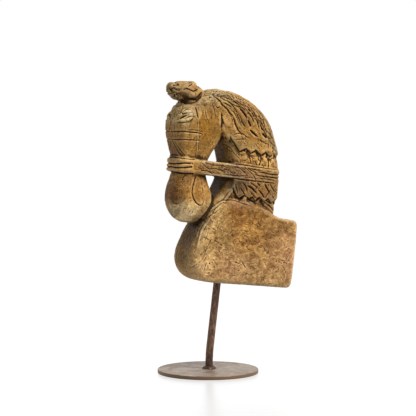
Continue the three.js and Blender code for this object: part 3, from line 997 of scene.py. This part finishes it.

# the wood's colours, stains and bleaching, with painted shade in its hollows, under the forelock and down
# the throat, and painted light on its ridges and under the muzzle

swatches = [
    # place in the carving's millimetres (near side), and the colour there: mostly the wood's own, with
    # painted shade under the forelock, under the strap on the throat and on the chest under the muzzle
    (-75, 0, 243, 130, 102, 62), (-88, 0, 230, 132, 106, 70), (-66, -12, 232, 152, 110, 44),
    (-80, -10, 212, 206, 176, 118), (-76, -20, 203, 178, 154, 110), (-55, -25, 192, 164, 120, 44),
    (-58, -25, 165, 164, 126, 70), (-80, -6, 180, 150, 112, 60), (-80, -8, 158, 128, 96, 56),
    (-36, -25, 185, 152, 114, 58), (-40, 0, 237, 138, 114, 74), (-10, 0, 240, 160, 134, 92),
    (45, 0, 205, 124, 100, 64), (58, -10, 180, 118, 96, 66), (0, -25, 212, 142, 102, 50),
    (-15, -26, 200, 170, 134, 78), (15, -26, 188, 164, 124, 66), (38, -26, 160, 198, 156, 90),
    (12, -26, 160, 190, 146, 84), (-6, -22, 168, 132, 106, 64), (-70, -16, 142, 190, 152, 92),
    (-40, -25, 142, 130, 96, 54), (0, -27, 142, 98, 67, 32), (45, -26, 142, 138, 104, 60),
    (30, -27, 120, 124, 88, 44), (-68, -20, 122, 150, 110, 58), (-76, -12, 106, 120, 77, 34),
    # the palest swatch, under the muzzle, is painted light
    (-57, -24, 108, 172, 124, 50), (-46, -22, 112, 160, 118, 64), (-62, -18, 84, 255, 238, 196),
    (-2, -20, 130, 52, 40, 22), (-8, 0, 150, 158, 128, 76), (0, -27, 96, 138, 94, 44),
    (20, -27, 70, 166, 126, 74), (88, -27, 52, 172, 136, 94), (0, -27, 16, 168, 136, 98),
    (88, -27, 16, 176, 142, 102), (-34, -24, 20, 206, 172, 128), (-48, 0, 55, 112, 83, 40),
    (-38, -4, 72, 60, 46, 28), (-70, -8, 221, 50, 38, 20), (-20, -16, 98, 206, 176, 126),
    (-32, -23, 80, 176, 144, 100), (-39, -25, 58, 182, 150, 104), (-58, 0, 25, 126, 96, 52),
    (-30, 0, 85, 66, 50, 30), (110, 0, 40, 160, 126, 84), (30, 0, 0, 158, 128, 90),
    (85, 0, 78, 158, 124, 80),
]
agesAndShade = {
    "swatchSoftness": 9.0,
    # how widely each hollow looks round itself, and the millimetres that count as fully deep
    "hollows": [("hollowFine", 3, 0.13), ("hollowMid", 14, 0.48), ("hollowBroad", 60, 1.6)],
    "threadStep": 1.25,
    # the chest's flat front, painted darker as shade and as darker wood: from which height to which, and
    # where most
    "frontFoot": (8, 26),
    "frontDark": (34, 60),
    "frontTop": (84, 92),
    "frontShadeAndStain": (0.16, 0.72),
    "frontFacing": (0.65, 0.7),
    # where the block's bold figure fades out
    "blockTop": (84, 104),
    "blockFront": (-40, -28),
    "mostTriangles": 194000,
}

# darker and paler places: centre, radius and amount, on both sides of the carving; stains, and painted
# shade under the forelock and down the throat
stainAndShadeSpots = [
    (-77, -13, 97, 7.0, 0.75), (-75, -14, 112, 7.0, 0.35), (-84, -6, 222, 6.0, 0.5),
    (-72, -12, 219, 8.0, 1.2), (-80, -10, 221, 5.0, 0.7), (-80, -14, 227, 5.0, 0.5),
    (-86, -10, 225, 6.0, 0.4), (-93, -6, 233, 4.0, 0.35), (-60, -12, 226, 6.0, 0.5),
    (-14, -20, 172, 8.0, 0.52), (-10, -8, 160, 9.0, 0.3), (-15, -10, 118, 11.0, 1.3),
    (-13, -4, 127, 8.0, 0.8), (-22, -20, 182, 6.0, 0.5), (-2, -24, 158, 9.0, 0.25),
    (8, -27, 94, 9.0, 0.35), (-12, -26, 88, 7.0, 0.3), (14, -27, 126, 10.0, 0.3),
    (48, -24, 122, 9.0, 0.35), (96, -27, 34, 7.0, 0.2), (2, -27, 46, 6.0, 0.18),
    (28, -27, 52, 6.0, 0.15), (-62, -22, 128, 8.0, 0.3), (-30, -24, 60, 7.0, -0.12),
    (-44, -14, 128, 8.0, 0.3),
]
# pale places: bleached wood, and painted light under the muzzle and round the poll
bleachedAndLit = [
    (-70, -23, 206, 6.0, 1.0), (-77, -22, 206, 5.0, 0.9), (-77, -23, 196.5, 4.0, 1.0),
    (-85, -11, 195, 4.5, 1.0), (-85, -3, 200, 7.0, 0.9), (-84, -6, 186, 4.0, 0.4),
    (-80, -17, 211, 5.0, 0.6), (-75, -2, 243, 12.0, 0.4), (-80, -6, 214, 8.0, 0.4),
    (-47, -18, 227, 8.0, 0.9), (-54, -19, 221, 6.0, 0.5), (-37, -12, 237, 9.0, 0.9),
    (-20, -6, 240, 9.0, 0.5), (-6, -25, 116, 3.6, 0.8), (-16, -22, 106, 4.6, 1.0),
    (-25, -21, 94, 5.5, 1.0), (-31, -22, 82, 5.5, 0.95), (-35, -23, 72, 5.5, 0.95),
    (-38, -24, 60, 6.0, 0.95), (-40, -25, 48, 6.0, 0.75), (4, -26, 104, 7.0, 0.5),
    (16, -26, 105, 5.0, 0.5), (-34, -23, 18, 9.0, 0.5), (-70, -18, 149, 6.0, 0.6),
    (-50, -24, 150, 5.0, 0.6), (58, -12, 178, 10.0, 0.5), (-63, -16, 80, 10.0, 0.7),
    (-74, -6, 86, 7.0, 0.9), (14, -26, 178, 5.0, 0.3), (-12, -25, 183, 6.0, 0.4),
    (4, -25, 176, 4.0, 0.5), (20, -25, 174, 4.0, 0.5), (36, -25, 173, 4.0, 0.5),
    (50, -23, 173, 4.0, 0.5),
]
# pale lines: the thread down the cheek, the edges of the strap, and the block's lower and back edges
threads = [
    (1.3, 0.55, [(-62, -24, 199), (-60, -24, 181), (-57, -24, 169), (-55, -23, 153)]),
    (1.3, 0.55, [(-50, -25, 149.3), (-10, -26, 148.8), (44, -26, 148)]),
    (1.3, 0.55, [(-50, -25, 134), (-10, -26, 134), (44, -26, 134)]),
    (3.6, 0.45, [(-30, -27, 3), (104, -27, 3), (109, -27, 8), (109, -27, 74)]),
]
for radius, amount, thread in threads:
    for start, end in zip(thread, thread[1:]):
        steps = int(np.linalg.norm(np.subtract(end, start)) / (agesAndShade["threadStep"] * radius))
        for step in range(steps):
            bleachedAndLit.append((*np.add(start, np.subtract(end, start) * step / steps), radius, amount))
rosy = [
    (-62, -18, 82, 11.0, 0.9), (84, -27, 48, 26.0, 0.6), (96, -27, 28, 14.0, 0.6),
    (10, -27, 14, 26.0, 0.4), (2, -27, 142, 12.0, 0.3), (-24, -25, 200, 7.0, 0.4),
    (24, -27, 138, 9.0, 0.25),
]


def linear(color):
    share = np.array(color, float) / 255
    return np.where(share < 0.04045, share / 12.92, ((share + 0.055) / 1.055) ** 2.4)


def paint(color):
    return (*[float(v) for v in linear(color)], 1.0)


def blobs(points, spots):
    total = np.zeros(len(points))
    for x, y, z, radius, amount in spots:
        far = (points[:, 0] - x) ** 2 + (np.abs(points[:, 1]) + y) ** 2 + (points[:, 2] - z) ** 2
        total += amount * np.exp(-far / radius ** 2)
    return total


def paintAgesAndShade(piece):
    mesh = piece.data
    points = readPoints(mesh) * 1000
    edges = readEdges(mesh)
    out = outwardOf(mesh, 6)
    before = points
    # how deep each point lies below its own surroundings, near and further away; the colour takes painted
    # shade from the deep places and painted highlight from the proud ones
    finer = (blank["quickVoxel"] / voxelSize()) ** 1.4
    for name, rounds, span in agesAndShade["hollows"]:
        soft = relax(before, edges, int(rounds * finer), 0.8)
        depth = ((soft - points) * out).sum(1)
        giveAttribute(mesh, name, np.clip(depth / span, -1, 1))
        before = soft
    local = toBust(points / 1000)
    x, y, z = local.T
    weight = np.zeros(len(local))
    tone = np.zeros((len(local), 3))
    for *spot, red, green, blue in swatches:
        far = (x - spot[0]) ** 2 + 0.5 * (np.abs(y) + spot[1]) ** 2 + (z - spot[2]) ** 2
        near = 1 / (far + agesAndShade["swatchSoftness"] ** 2) ** 2
        weight += near
        tone += near[:, None] * linear((red, green, blue))
    tone = np.column_stack([tone / weight[:, None], np.ones(len(local))])
    giveAttribute(mesh, "tone", tone, "FLOAT_COLOR")
    # the chest's flat front is painted darkest, most under the muzzle: painted shade where it faces away
    # from the light and lies under the muzzle, and darker wood
    front = ease(-outwardOf(mesh, 12)[:, 0], *agesAndShade["frontFacing"])
    front = front * (1 - ease(z, *agesAndShade["frontTop"])) * ease(z, *agesAndShade["frontFoot"])
    front *= agesAndShade["frontShadeAndStain"][0] + agesAndShade["frontShadeAndStain"][1] * ease(z, *agesAndShade["frontDark"])
    giveAttribute(mesh, "stainAndShade", np.clip(blobs(local, stainAndShadeSpots) + front, -1, 1))
    giveAttribute(mesh, "bleachedAndLit", np.clip(blobs(local, bleachedAndLit), 0, 1))
    giveAttribute(mesh, "rosy", np.clip(blobs(local, rosy), 0, 1))
    giveAttribute(mesh, "figured", (1 - ease(z, *agesAndShade["blockTop"])) * ease(x, *agesAndShade["blockFront"]))


def thinPiece(piece, target):
    mesh = piece.data
    mesh.calc_loop_triangles()
    count = len(mesh.loop_triangles)
    if count > target:
        modifier = piece.modifiers.new("thin", "DECIMATE")
        modifier.ratio = target / count
        swapMesh(piece)
    mesh = piece.data
    mesh.polygons.foreach_set("use_smooth", np.ones(len(mesh.polygons), bool))
    for name in ("rest", "outward"):
        mesh.attributes.remove(mesh.attributes[name])
    mesh.calc_loop_triangles()
    print("horse triangles", len(mesh.loop_triangles))


paintAgesAndShade(horse)
thinPiece(horse, agesAndShade["mostTriangles"])

# driftwood

wood = {
    "shadowBrown": (58, 38, 18),
    "cutBrown": (40, 27, 14),
    "reddish": (118, 68, 30),
    "bleachAndHighlight": (206, 186, 146),
    "rosy": (190, 142, 106),
    "ringScale": 0.021,
    "ringCount": 15.0,
    "roughness": (0.4, 0.66),
    "specular": 0.08,
    "bump": (0.55, 0.0005),  # strength, and distance in metres
    # what each noise runs along, then its scale, detail, roughness and distortion
    "noises": {
        "clouds": ("even", 0.05, 3.0, 0.5, 0.6),
        "veins": ("slanting", 0.16, 8.0, 0.72, 1.9),
        "patches": ("slanting", 0.085, 3.0, 0.5, 1.4),
        "flecks": ("slanting", 0.5, 6.0, 0.7, 1.2),
        "streaks": ("drawn", 0.7, 5.0, 0.62, 1.5),
        "grain": ("lengthwise", 1.1, 4.0, 0.6, 0.3),
        "dust": ("even", 2.4, 3.0, 0.6),
        "redness": ("slanting", 0.1, 5.0, 0.65, 1.2),
        "paleBreakup": ("even", 0.34, 5.0, 0.65),
    },
}


def makeDriftwood(material):
    tree = material.node_tree
    surface = tree.nodes["Principled BSDF"]

    def kept(name, out="Fac"):
        return addNode(tree, "ShaderNodeAttribute", attribute_name=name).outputs[out]

    # millimetres, with z up the carving's own length
    place = addNode(tree, "ShaderNodeTexCoord").outputs["Object"]
    even = mapped(place, (1000, 1000, 1000), -stand["leanDegrees"])
    ways = {
        "even": even,
        "lengthwise": mapped(even, (1, 1, 0.11)),
        "slanting": mapped(even, (0.8, 1, 1.15), -28),
        "drawn": mapped(even, (2.6, 1, 0.9), -38, "TEXTURE"),
    }
    noises = {name: noiseOf(ways[way], *values) for name, (way, *values) in wood["noises"].items()}
    veins, flecks, streaks = noises["veins"], noises["flecks"], noises["streaks"]
    patches, grain = noises["patches"], noises["grain"]
    pores = times(spanOf(cellsOf(even, 0.36), 0.2, 0.06), spanOf(flecks, 0.52, 0.64))
    # year rings, drawn out by the noise they follow
    ringNoise = noiseOf(mapped(even, (1, 1, 0.45)), wood["ringScale"], 3.0, 0.45, 0.4)
    rings = mathOf("SINE", times(ringNoise, wood["ringCount"] * 2 * math.pi))
    rings = times(spanOf(rings, 0.1, 0.95), spanOf(veins, 0.62, 0.42))
    figured = kept("figured")
    patchiness = spanOf(figured, 0, 1, 0.6, 1.0)
    fine, mid, broad = (kept(name) for name in ("hollowFine", "hollowMid", "hollowBroad"))
    ridge = mathOf("MAXIMUM", spanOf(fine, -0.1, -0.6, 0.0, 0.7), spanOf(mid, -0.12, -0.7, 0.0, 0.5))
    stainAndShade = times(kept("stainAndShade"), spanOf(veins, 0.62, 0.4, 0.5, 1.15))
    pale = times(kept("bleachedAndLit"), spanOf(noises["paleBreakup"], 0.42, 0.58), spanOf(mid, 0.3, -0.1))

    # one layer on the other: how strong it is, and a tint to multiply by or the name of a colour to paint
    layers = [
        (1.0, (0.81, 0.755, 0.59)),
        (spanOf(noises["clouds"], 0.4, 0.62, 0.0, 0.6), (1.25, 1.22, 1.15)),
        (times(rings, 0.5), (0.5, 0.4, 0.3)),
        (times(spanOf(patches, 0.5, 0.38), patchiness), (0.72, 0.66, 0.57)),
        (times(spanOf(patches, 0.5, 0.62), patchiness), (1.22, 1.24, 1.28)),
        (times(spanOf(veins, 0.5, 0.34), spanOf(figured, 0, 1, 0.65, 1.0)), (0.34, 0.26, 0.19)),
        (times(spanOf(veins, 0.52, 0.66), spanOf(figured, 0, 1, 0.5, 1.0)), (1.6, 1.62, 1.66)),
        (times(spanOf(noises["redness"], 0.53, 0.66), 0.45), "reddish"),
        (times(kept("rosy"), 0.5), "rosy"),
        (spanOf(grain, 0.52, 0.36, 0.0, 0.4), (0.55, 0.47, 0.4)),
        (spanOf(flecks, 0.47, 0.33, 0.0, 0.85), (0.38, 0.3, 0.22)),
        (spanOf(flecks, 0.55, 0.7, 0.0, 0.6), (1.5, 1.5, 1.45)),
        (spanOf(streaks, 0.47, 0.36, 0.0, 0.55), (0.5, 0.42, 0.34)),
        (spanOf(streaks, 0.53, 0.64, 0.0, 0.6), (1.55, 1.6, 1.66)),
        (times(pores, 0.75), "cutBrown"),
        # painted shade: darker in the broad, middle and fine hollows
        (spanOf(broad, 0.05, 0.9, 0.0, 0.6), (0.36, 0.28, 0.2)),
        (spanOf(mid, 0.08, 0.75, 0.0, 0.85), "shadowBrown"),
        (spanOf(fine, 0.12, 0.75, 0.0, 0.9), "cutBrown"),
        # the cuts darker: painted shade in them, and the dark patina they hold
        (spanOf(kept("carved"), 0.35, 1.4, 0.0, 0.85), "cutBrown"),
        # paler on ridges and broad swells: painted highlight, and the wear of the real ridges
        (ridge, (1.5, 1.53, 1.56)),
        (times(ridge, 0.17), "bleachAndHighlight"),
        (spanOf(broad, -0.45, -1.1, 0.0, 0.16), "bleachAndHighlight"),
        # stains, with painted shade on the chest's front, under the forelock and down the throat
        (mathOf("MULTIPLY", stainAndShade, 0.85, clamp=True), "shadowBrown"),
        # bleached wood, and painted light under the muzzle and round the poll
        (times(pale, 0.65), "bleachAndHighlight"),
    ]
    color = kept("tone", "Color")
    for strength, tint in layers:
        if isinstance(tint, str):
            color = mixOf(strength, color, paint(wood[tint]))
        else:
            color = mixOf(strength, color, (*tint, 1), "MULTIPLY")
    tree.links.new(color, surface.inputs["Base Color"])

    rough = spanOf(flecks, 0.3, 0.7, *wood["roughness"])
    rough = mathOf("ADD", rough, spanOf(mid, 0.0, 0.7, 0.0, 0.2), clamp=True)
    tree.links.new(rough, surface.inputs["Roughness"])
    surface.inputs["Specular IOR Level"].default_value = wood["specular"]
    height = plus(times(flecks, 0.7), plus(times(grain, 0.5), times(streaks, 0.6)))
    height = minus(plus(height, times(noises["dust"], 0.25)), pores)
    tree.links.new(bumpOf(height, *wood["bump"]), surface.inputs["Normal"])


makeDriftwood(driftwood)
horse.data.materials.clear()
horse.data.materials.append(driftwood)
print("driftwood ready")

# the bent rod with its weld

rodPiece = {
    "radius": 4.75,
    "sides": 48,
    "pathSteps": 150,
    "bendSteps": 12,
    "shaftSteps": 30,
    "socketDepth": 25.6,
    "weldRadius": 8.6,
    "weldHeight": 5.2,
    "weldLumps": 9.0,
    "scaleDepth": 0.35,
    "scaleSize": 260.0,
    "seed": 3.0,
}


def rodPath():
    points = [np.array([stand["footX"], 0, plateBox[1][2] * 1000 - 0.5]), bendStart]
    bends, steps = rodPiece["bendSteps"], rodPiece["shaftSteps"]
    for step in range(1, bends + 1):
        angle = lean * step / bends
        points.append(bendStart + stand["bendRadius"] * np.array([1 - math.cos(angle), 0, math.sin(angle)]))
    straight = upAxis * (stand["shaft"] + rodPiece["socketDepth"])
    for step in range(1, steps + 1):
        points.append(bendStart + bendShift + straight * step / steps)
    return points


def makeRodTree():
    tree, given = newGeometryTree("forgedRod", {
        "Float": ["Radius", "Weld radius", "Weld height", "Lumps", "Scale depth", "Seed"],
        "Int": ["Sides"], "Vector": ["Weld foot"], "Material": ["Material"]})

    def make(kind, values=None):
        return addNode(tree, "GeometryNode" + kind, values).outputs[0]

    path = make("MeshToCurve", {"Mesh": given["Geometry"]})
    path = make("ResampleCurve", {"Curve": path, "Count": rodPiece["pathSteps"]})
    ring = make("CurvePrimitiveCircle", {"Resolution": given["Sides"], "Radius": given["Radius"]})
    shaft = make("CurveToMesh", {"Curve": path, "Profile Curve": ring, "Fill Caps": True})
    ball = make("MeshUVSphere", {"Segments": 72, "Rings": 28, "Radius": 1.0})
    spot = make("InputPosition")
    x, y, z = addNode(tree, "ShaderNodeSeparateXYZ", {0: spot}).outputs
    lumps = mathOf("SINE", plus(times(mathOf("ARCTAN2", y, x), given["Lumps"]), times(z, 2.5)))
    radius = times(plus(times(lumps, 0.05), 1.0), given["Weld radius"])
    size = addNode(tree, "ShaderNodeCombineXYZ", {0: radius, 1: radius, 2: given["Weld height"]}).outputs[0]
    # flat below, so that it ends inside the plate
    flat = addNode(tree, "ShaderNodeCombineXYZ", {0: x, 1: y, 2: mathOf("MAXIMUM", z, -0.6)}).outputs[0]
    placed = vectorOf("ADD", vectorOf("MULTIPLY", flat, size), given["Weld foot"])
    bead = make("SetPosition", {"Geometry": ball, "Position": placed})
    both = addNode(tree, "GeometryNodeJoinGeometry")
    for part in (shaft, bead):
        tree.links.new(part, both.inputs[0])
    rough = noiseOf(spot, rodPiece["scaleSize"], 3.0, seed=given["Seed"])
    lift = times(minus(rough, 0.55), given["Scale depth"])
    pitted = moveAlong(both.outputs[0], make("InputNormal"), lift)
    endTree(tree, make("SetShadeSmooth", {"Geometry": pitted}), given["Material"])
    return tree


def makeRod(material):
    points = [tuple(p / 1000) for p in rodPath()]
    mesh = bpy.data.meshes.new("bentRod")
    mesh.from_pydata(points, [(i, i + 1) for i in range(len(points) - 1)], [])
    piece = newPiece("bentRod", mesh)
    foot = (stand["footX"] / 1000, 0.0, plateBox[1][2] - 0.0004)
    runTree(piece, makeRodTree(), {
        "Radius": rodPiece["radius"] / 1000, "Sides": rodPiece["sides"],
        "Weld radius": rodPiece["weldRadius"] / 1000, "Weld height": rodPiece["weldHeight"] / 1000,
        "Weld foot": foot, "Lumps": rodPiece["weldLumps"], "Scale depth": rodPiece["scaleDepth"] / 1000,
        "Seed": rodPiece["seed"], "Material": material})
    return piece


rodFinish = {
    "dark": (50, 34, 26),
    "mid": (96, 69, 51),
    "bright": (142, 105, 79),
    "metallic": 0.55,
    "roughness": (0.38, 0.6),
    "scale": 0.35,
    "stretch": (1, 1, 0.4),
    "low": (56, 38, 28),  # the colour near the foot, and between which heights it comes in
    "lowSpan": (0.034, 0.004),
    "depth": 0.0003,
}


def makeMetal(name, finish):
    material = bpy.data.materials.new(name)
    material.use_nodes = True
    tree = material.node_tree
    surface = tree.nodes["Principled BSDF"]
    place = addNode(tree, "ShaderNodeTexCoord").outputs["Object"]
    coords = mapped(place, tuple(1000 * v for v in finish["stretch"]))
    clouds = noiseOf(coords, finish["scale"], 6.0, 0.62, 0.8)
    specks = noiseOf(coords, finish["scale"] * 6, 4.0, 0.6)
    height = addNode(tree, "ShaderNodeSeparateXYZ", {0: place}).outputs[2]
    color = mixOf(spanOf(clouds, 0.36, 0.5), paint(finish["dark"]), paint(finish["mid"]))
    color = mixOf(spanOf(clouds, 0.5, 0.68), color, paint(finish["bright"]))
    color = mixOf(spanOf(specks, 0.46, 0.34, 0.0, 0.6), color, paint(finish["dark"]))
    low = spanOf(plus(height, times(clouds, 0.001)), *finish["lowSpan"])
    color = mixOf(low, color, paint(finish["low"]))
    tree.links.new(color, surface.inputs["Base Color"])
    surface.inputs["Metallic"].default_value = finish["metallic"]
    tree.links.new(spanOf(specks, 0.3, 0.7, *finish["roughness"]), surface.inputs["Roughness"])
    bump = bumpOf(plus(clouds, times(specks, 0.6)), 0.45, finish["depth"])
    tree.links.new(bump, surface.inputs["Normal"])
    return material


rodIron = makeMetal("brownedIron", rodFinish)
rod = makeRod(rodIron)
print("rod ready")

# the round plate

plate = {"radius": 63.5, "edge": 0.9, "steps": 180, "rings": [0, 6, 12, 20, 28, 36, 44, 50, 56, 60, 62]}


def makePlate(material):
    thick = plateBox[1][2] * 1000
    edge = plate["edge"]
    corner = [(plate["radius"] - edge + edge * math.sin(a), edge * (1 - math.cos(a)))
              for a in (math.pi / 2 * i / 4 for i in range(5))]
    top = [(r, thick) for r in plate["rings"]] + [(r, thick - drop) for r, drop in corner]
    bottom = [(r, drop) for r, drop in reversed(corner)] + [(r, 0) for r in reversed(plate["rings"])]
    side = [(plate["radius"], thick - edge - (thick - 2 * edge) * i / 4) for i in range(1, 4)]
    profile = top + side + bottom
    work = bmesh.new()
    rings = []
    for r, z in profile:
        if r == 0:
            rings.append([work.verts.new((0, 0, z / 1000))])
            continue
        turns = (2 * math.pi * i / plate["steps"] for i in range(plate["steps"]))
        spots = ((r * math.cos(turn) / 1000, r * math.sin(turn) / 1000, z / 1000) for turn in turns)
        rings.append([work.verts.new(spot) for spot in spots])
    for upper, lower in zip(rings, rings[1:]):
        for i in range(plate["steps"]):
            j = (i + 1) % plate["steps"]
            loop = ((upper, i), (lower, i), (lower, j), (upper, j))
            corners = list(dict.fromkeys(ring[at % len(ring)] for ring, at in loop))
            if len(corners) > 2:
                work.faces.new(corners)
    bmesh.ops.recalc_face_normals(work, faces=work.faces)
    mesh = bpy.data.meshes.new("roundPlate")
    work.to_mesh(mesh)
    work.free()
    mesh.polygons.foreach_set("use_smooth", np.ones(len(mesh.polygons), bool))
    mesh.materials.append(material)
    return newPiece("roundPlate", mesh)


plateFinish = {
    "dark": (96, 78, 62),
    "mid": (126, 109, 93),
    "bright": (147, 134, 120),
    "metallic": 0.25,
    "roughness": (0.4, 0.56),
    "scale": 0.06,
    "stretch": (1, 1, 1),
    "low": (104, 78, 52),
    "lowSpan": (0.0052, 0.0046),
    "depth": 0.0002,
}
plateIron = makeMetal("wornPlateSteel", plateFinish)
plateDisc = makePlate(plateIron)
print("plate ready")

# light, floor and camera

studio = {
    "turn": -25.0,
    "distance": 2.150,
    "aimHeight": 0.0048,
    "lookUpToPlate": 8.83,
    "tiltDown": 3.43,
    "lens": 146.94,
    "sensor": 36.0,
    "worldLight": 0.5,
    "worldGloss": 1.05,
    "key": {"turn": 40.0, "rise": 48.0, "spread": 22.0, "strength": 4.35},
    "floor": {"reach": 1.2, "glow": 0.72, "bounce": 0.55, "roughness": 0.3},
}


def makeCamera():
    turn = math.radians(studio["turn"])
    rise = math.radians(studio["lookUpToPlate"])
    back = Vector((math.sin(turn) * math.cos(rise), -math.cos(turn) * math.cos(rise), math.sin(rise)))
    data = bpy.data.cameras.new("camera")
    data.lens = studio["lens"]
    data.sensor_width = studio["sensor"]
    data.clip_end = 50
    camera = bpy.data.objects.new("camera", data)
    camera.location = Vector((0, 0, studio["aimHeight"])) + back * studio["distance"]
    camera.rotation_euler = (math.radians(90 - studio["tiltDown"]), 0, turn)
    bpy.context.scene.collection.objects.link(camera)
    bpy.context.scene.camera = camera


def makeKey():
    data = bpy.data.lights.new("keyLight", "SUN")
    data.energy = studio["key"]["strength"]
    data.angle = math.radians(studio["key"]["spread"])
    turn, rise = math.radians(studio["key"]["turn"]), math.radians(studio["key"]["rise"])
    towards = Vector((math.sin(turn) * math.cos(rise), -math.cos(turn) * math.cos(rise), math.sin(rise)))
    lamp = bpy.data.objects.new("keyLight", data)
    lamp.rotation_euler = towards.to_track_quat("Z", "Y").to_euler()
    bpy.context.scene.collection.objects.link(lamp)


def makeWorld():
    world = bpy.data.worlds.new("studioWhite")
    bpy.context.scene.world = world
    world.use_nodes = True
    tree = world.node_tree
    tree.nodes.clear()
    seen = addNode(tree, "ShaderNodeLightPath").outputs
    level = spanOf(seen["Is Glossy Ray"], 0, 1, studio["worldLight"], studio["worldGloss"], "LINEAR")
    level = spanOf(seen["Is Camera Ray"], 0, 1, level, 1.0, "LINEAR")
    sky = addNode(tree, "ShaderNodeBackground", {"Color": (1, 1, 1, 1), "Strength": level})
    addNode(tree, "ShaderNodeOutputWorld", {"Surface": sky.outputs[0]})


def makeFloor():
    # a lit table of white acrylic, as for small objects
    table = studio["floor"]
    reach = table["reach"]
    mesh = bpy.data.meshes.new("floor")
    mesh.from_pydata([(-reach, -reach, 0), (reach, -reach, 0), (reach, reach, 0), (-reach, reach, 0)], [],
                     [(0, 1, 2, 3)])
    floor = newPiece("floor", mesh)
    acrylic = bpy.data.materials.new("litAcrylic")
    acrylic.use_nodes = True
    surface = acrylic.node_tree.nodes["Principled BSDF"]
    surface.inputs["Base Color"].default_value = (0.02, 0.02, 0.02, 1)
    surface.inputs["Roughness"].default_value = table["roughness"]
    surface.inputs["Emission Color"].default_value = (1, 1, 1, 1)
    seen = addNode(acrylic.node_tree, "ShaderNodeLightPath").outputs["Is Camera Ray"]
    strength = spanOf(seen, 0, 1, table["bounce"], table["glow"], "LINEAR")
    acrylic.node_tree.links.new(strength, surface.inputs["Emission Strength"])
    mesh.materials.append(acrylic)


makeCamera()
makeWorld()
makeFloor()
makeKey()
bpy.context.scene.view_settings.view_transform = "Standard"

for piece, node, slot in ((horse, "horse_bust", "driftwood"), (rod, "stand_rod", "rod_iron"),
                          (plateDisc, "stand_base", "plate_iron")):
    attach(piece, "root")
    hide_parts(node)
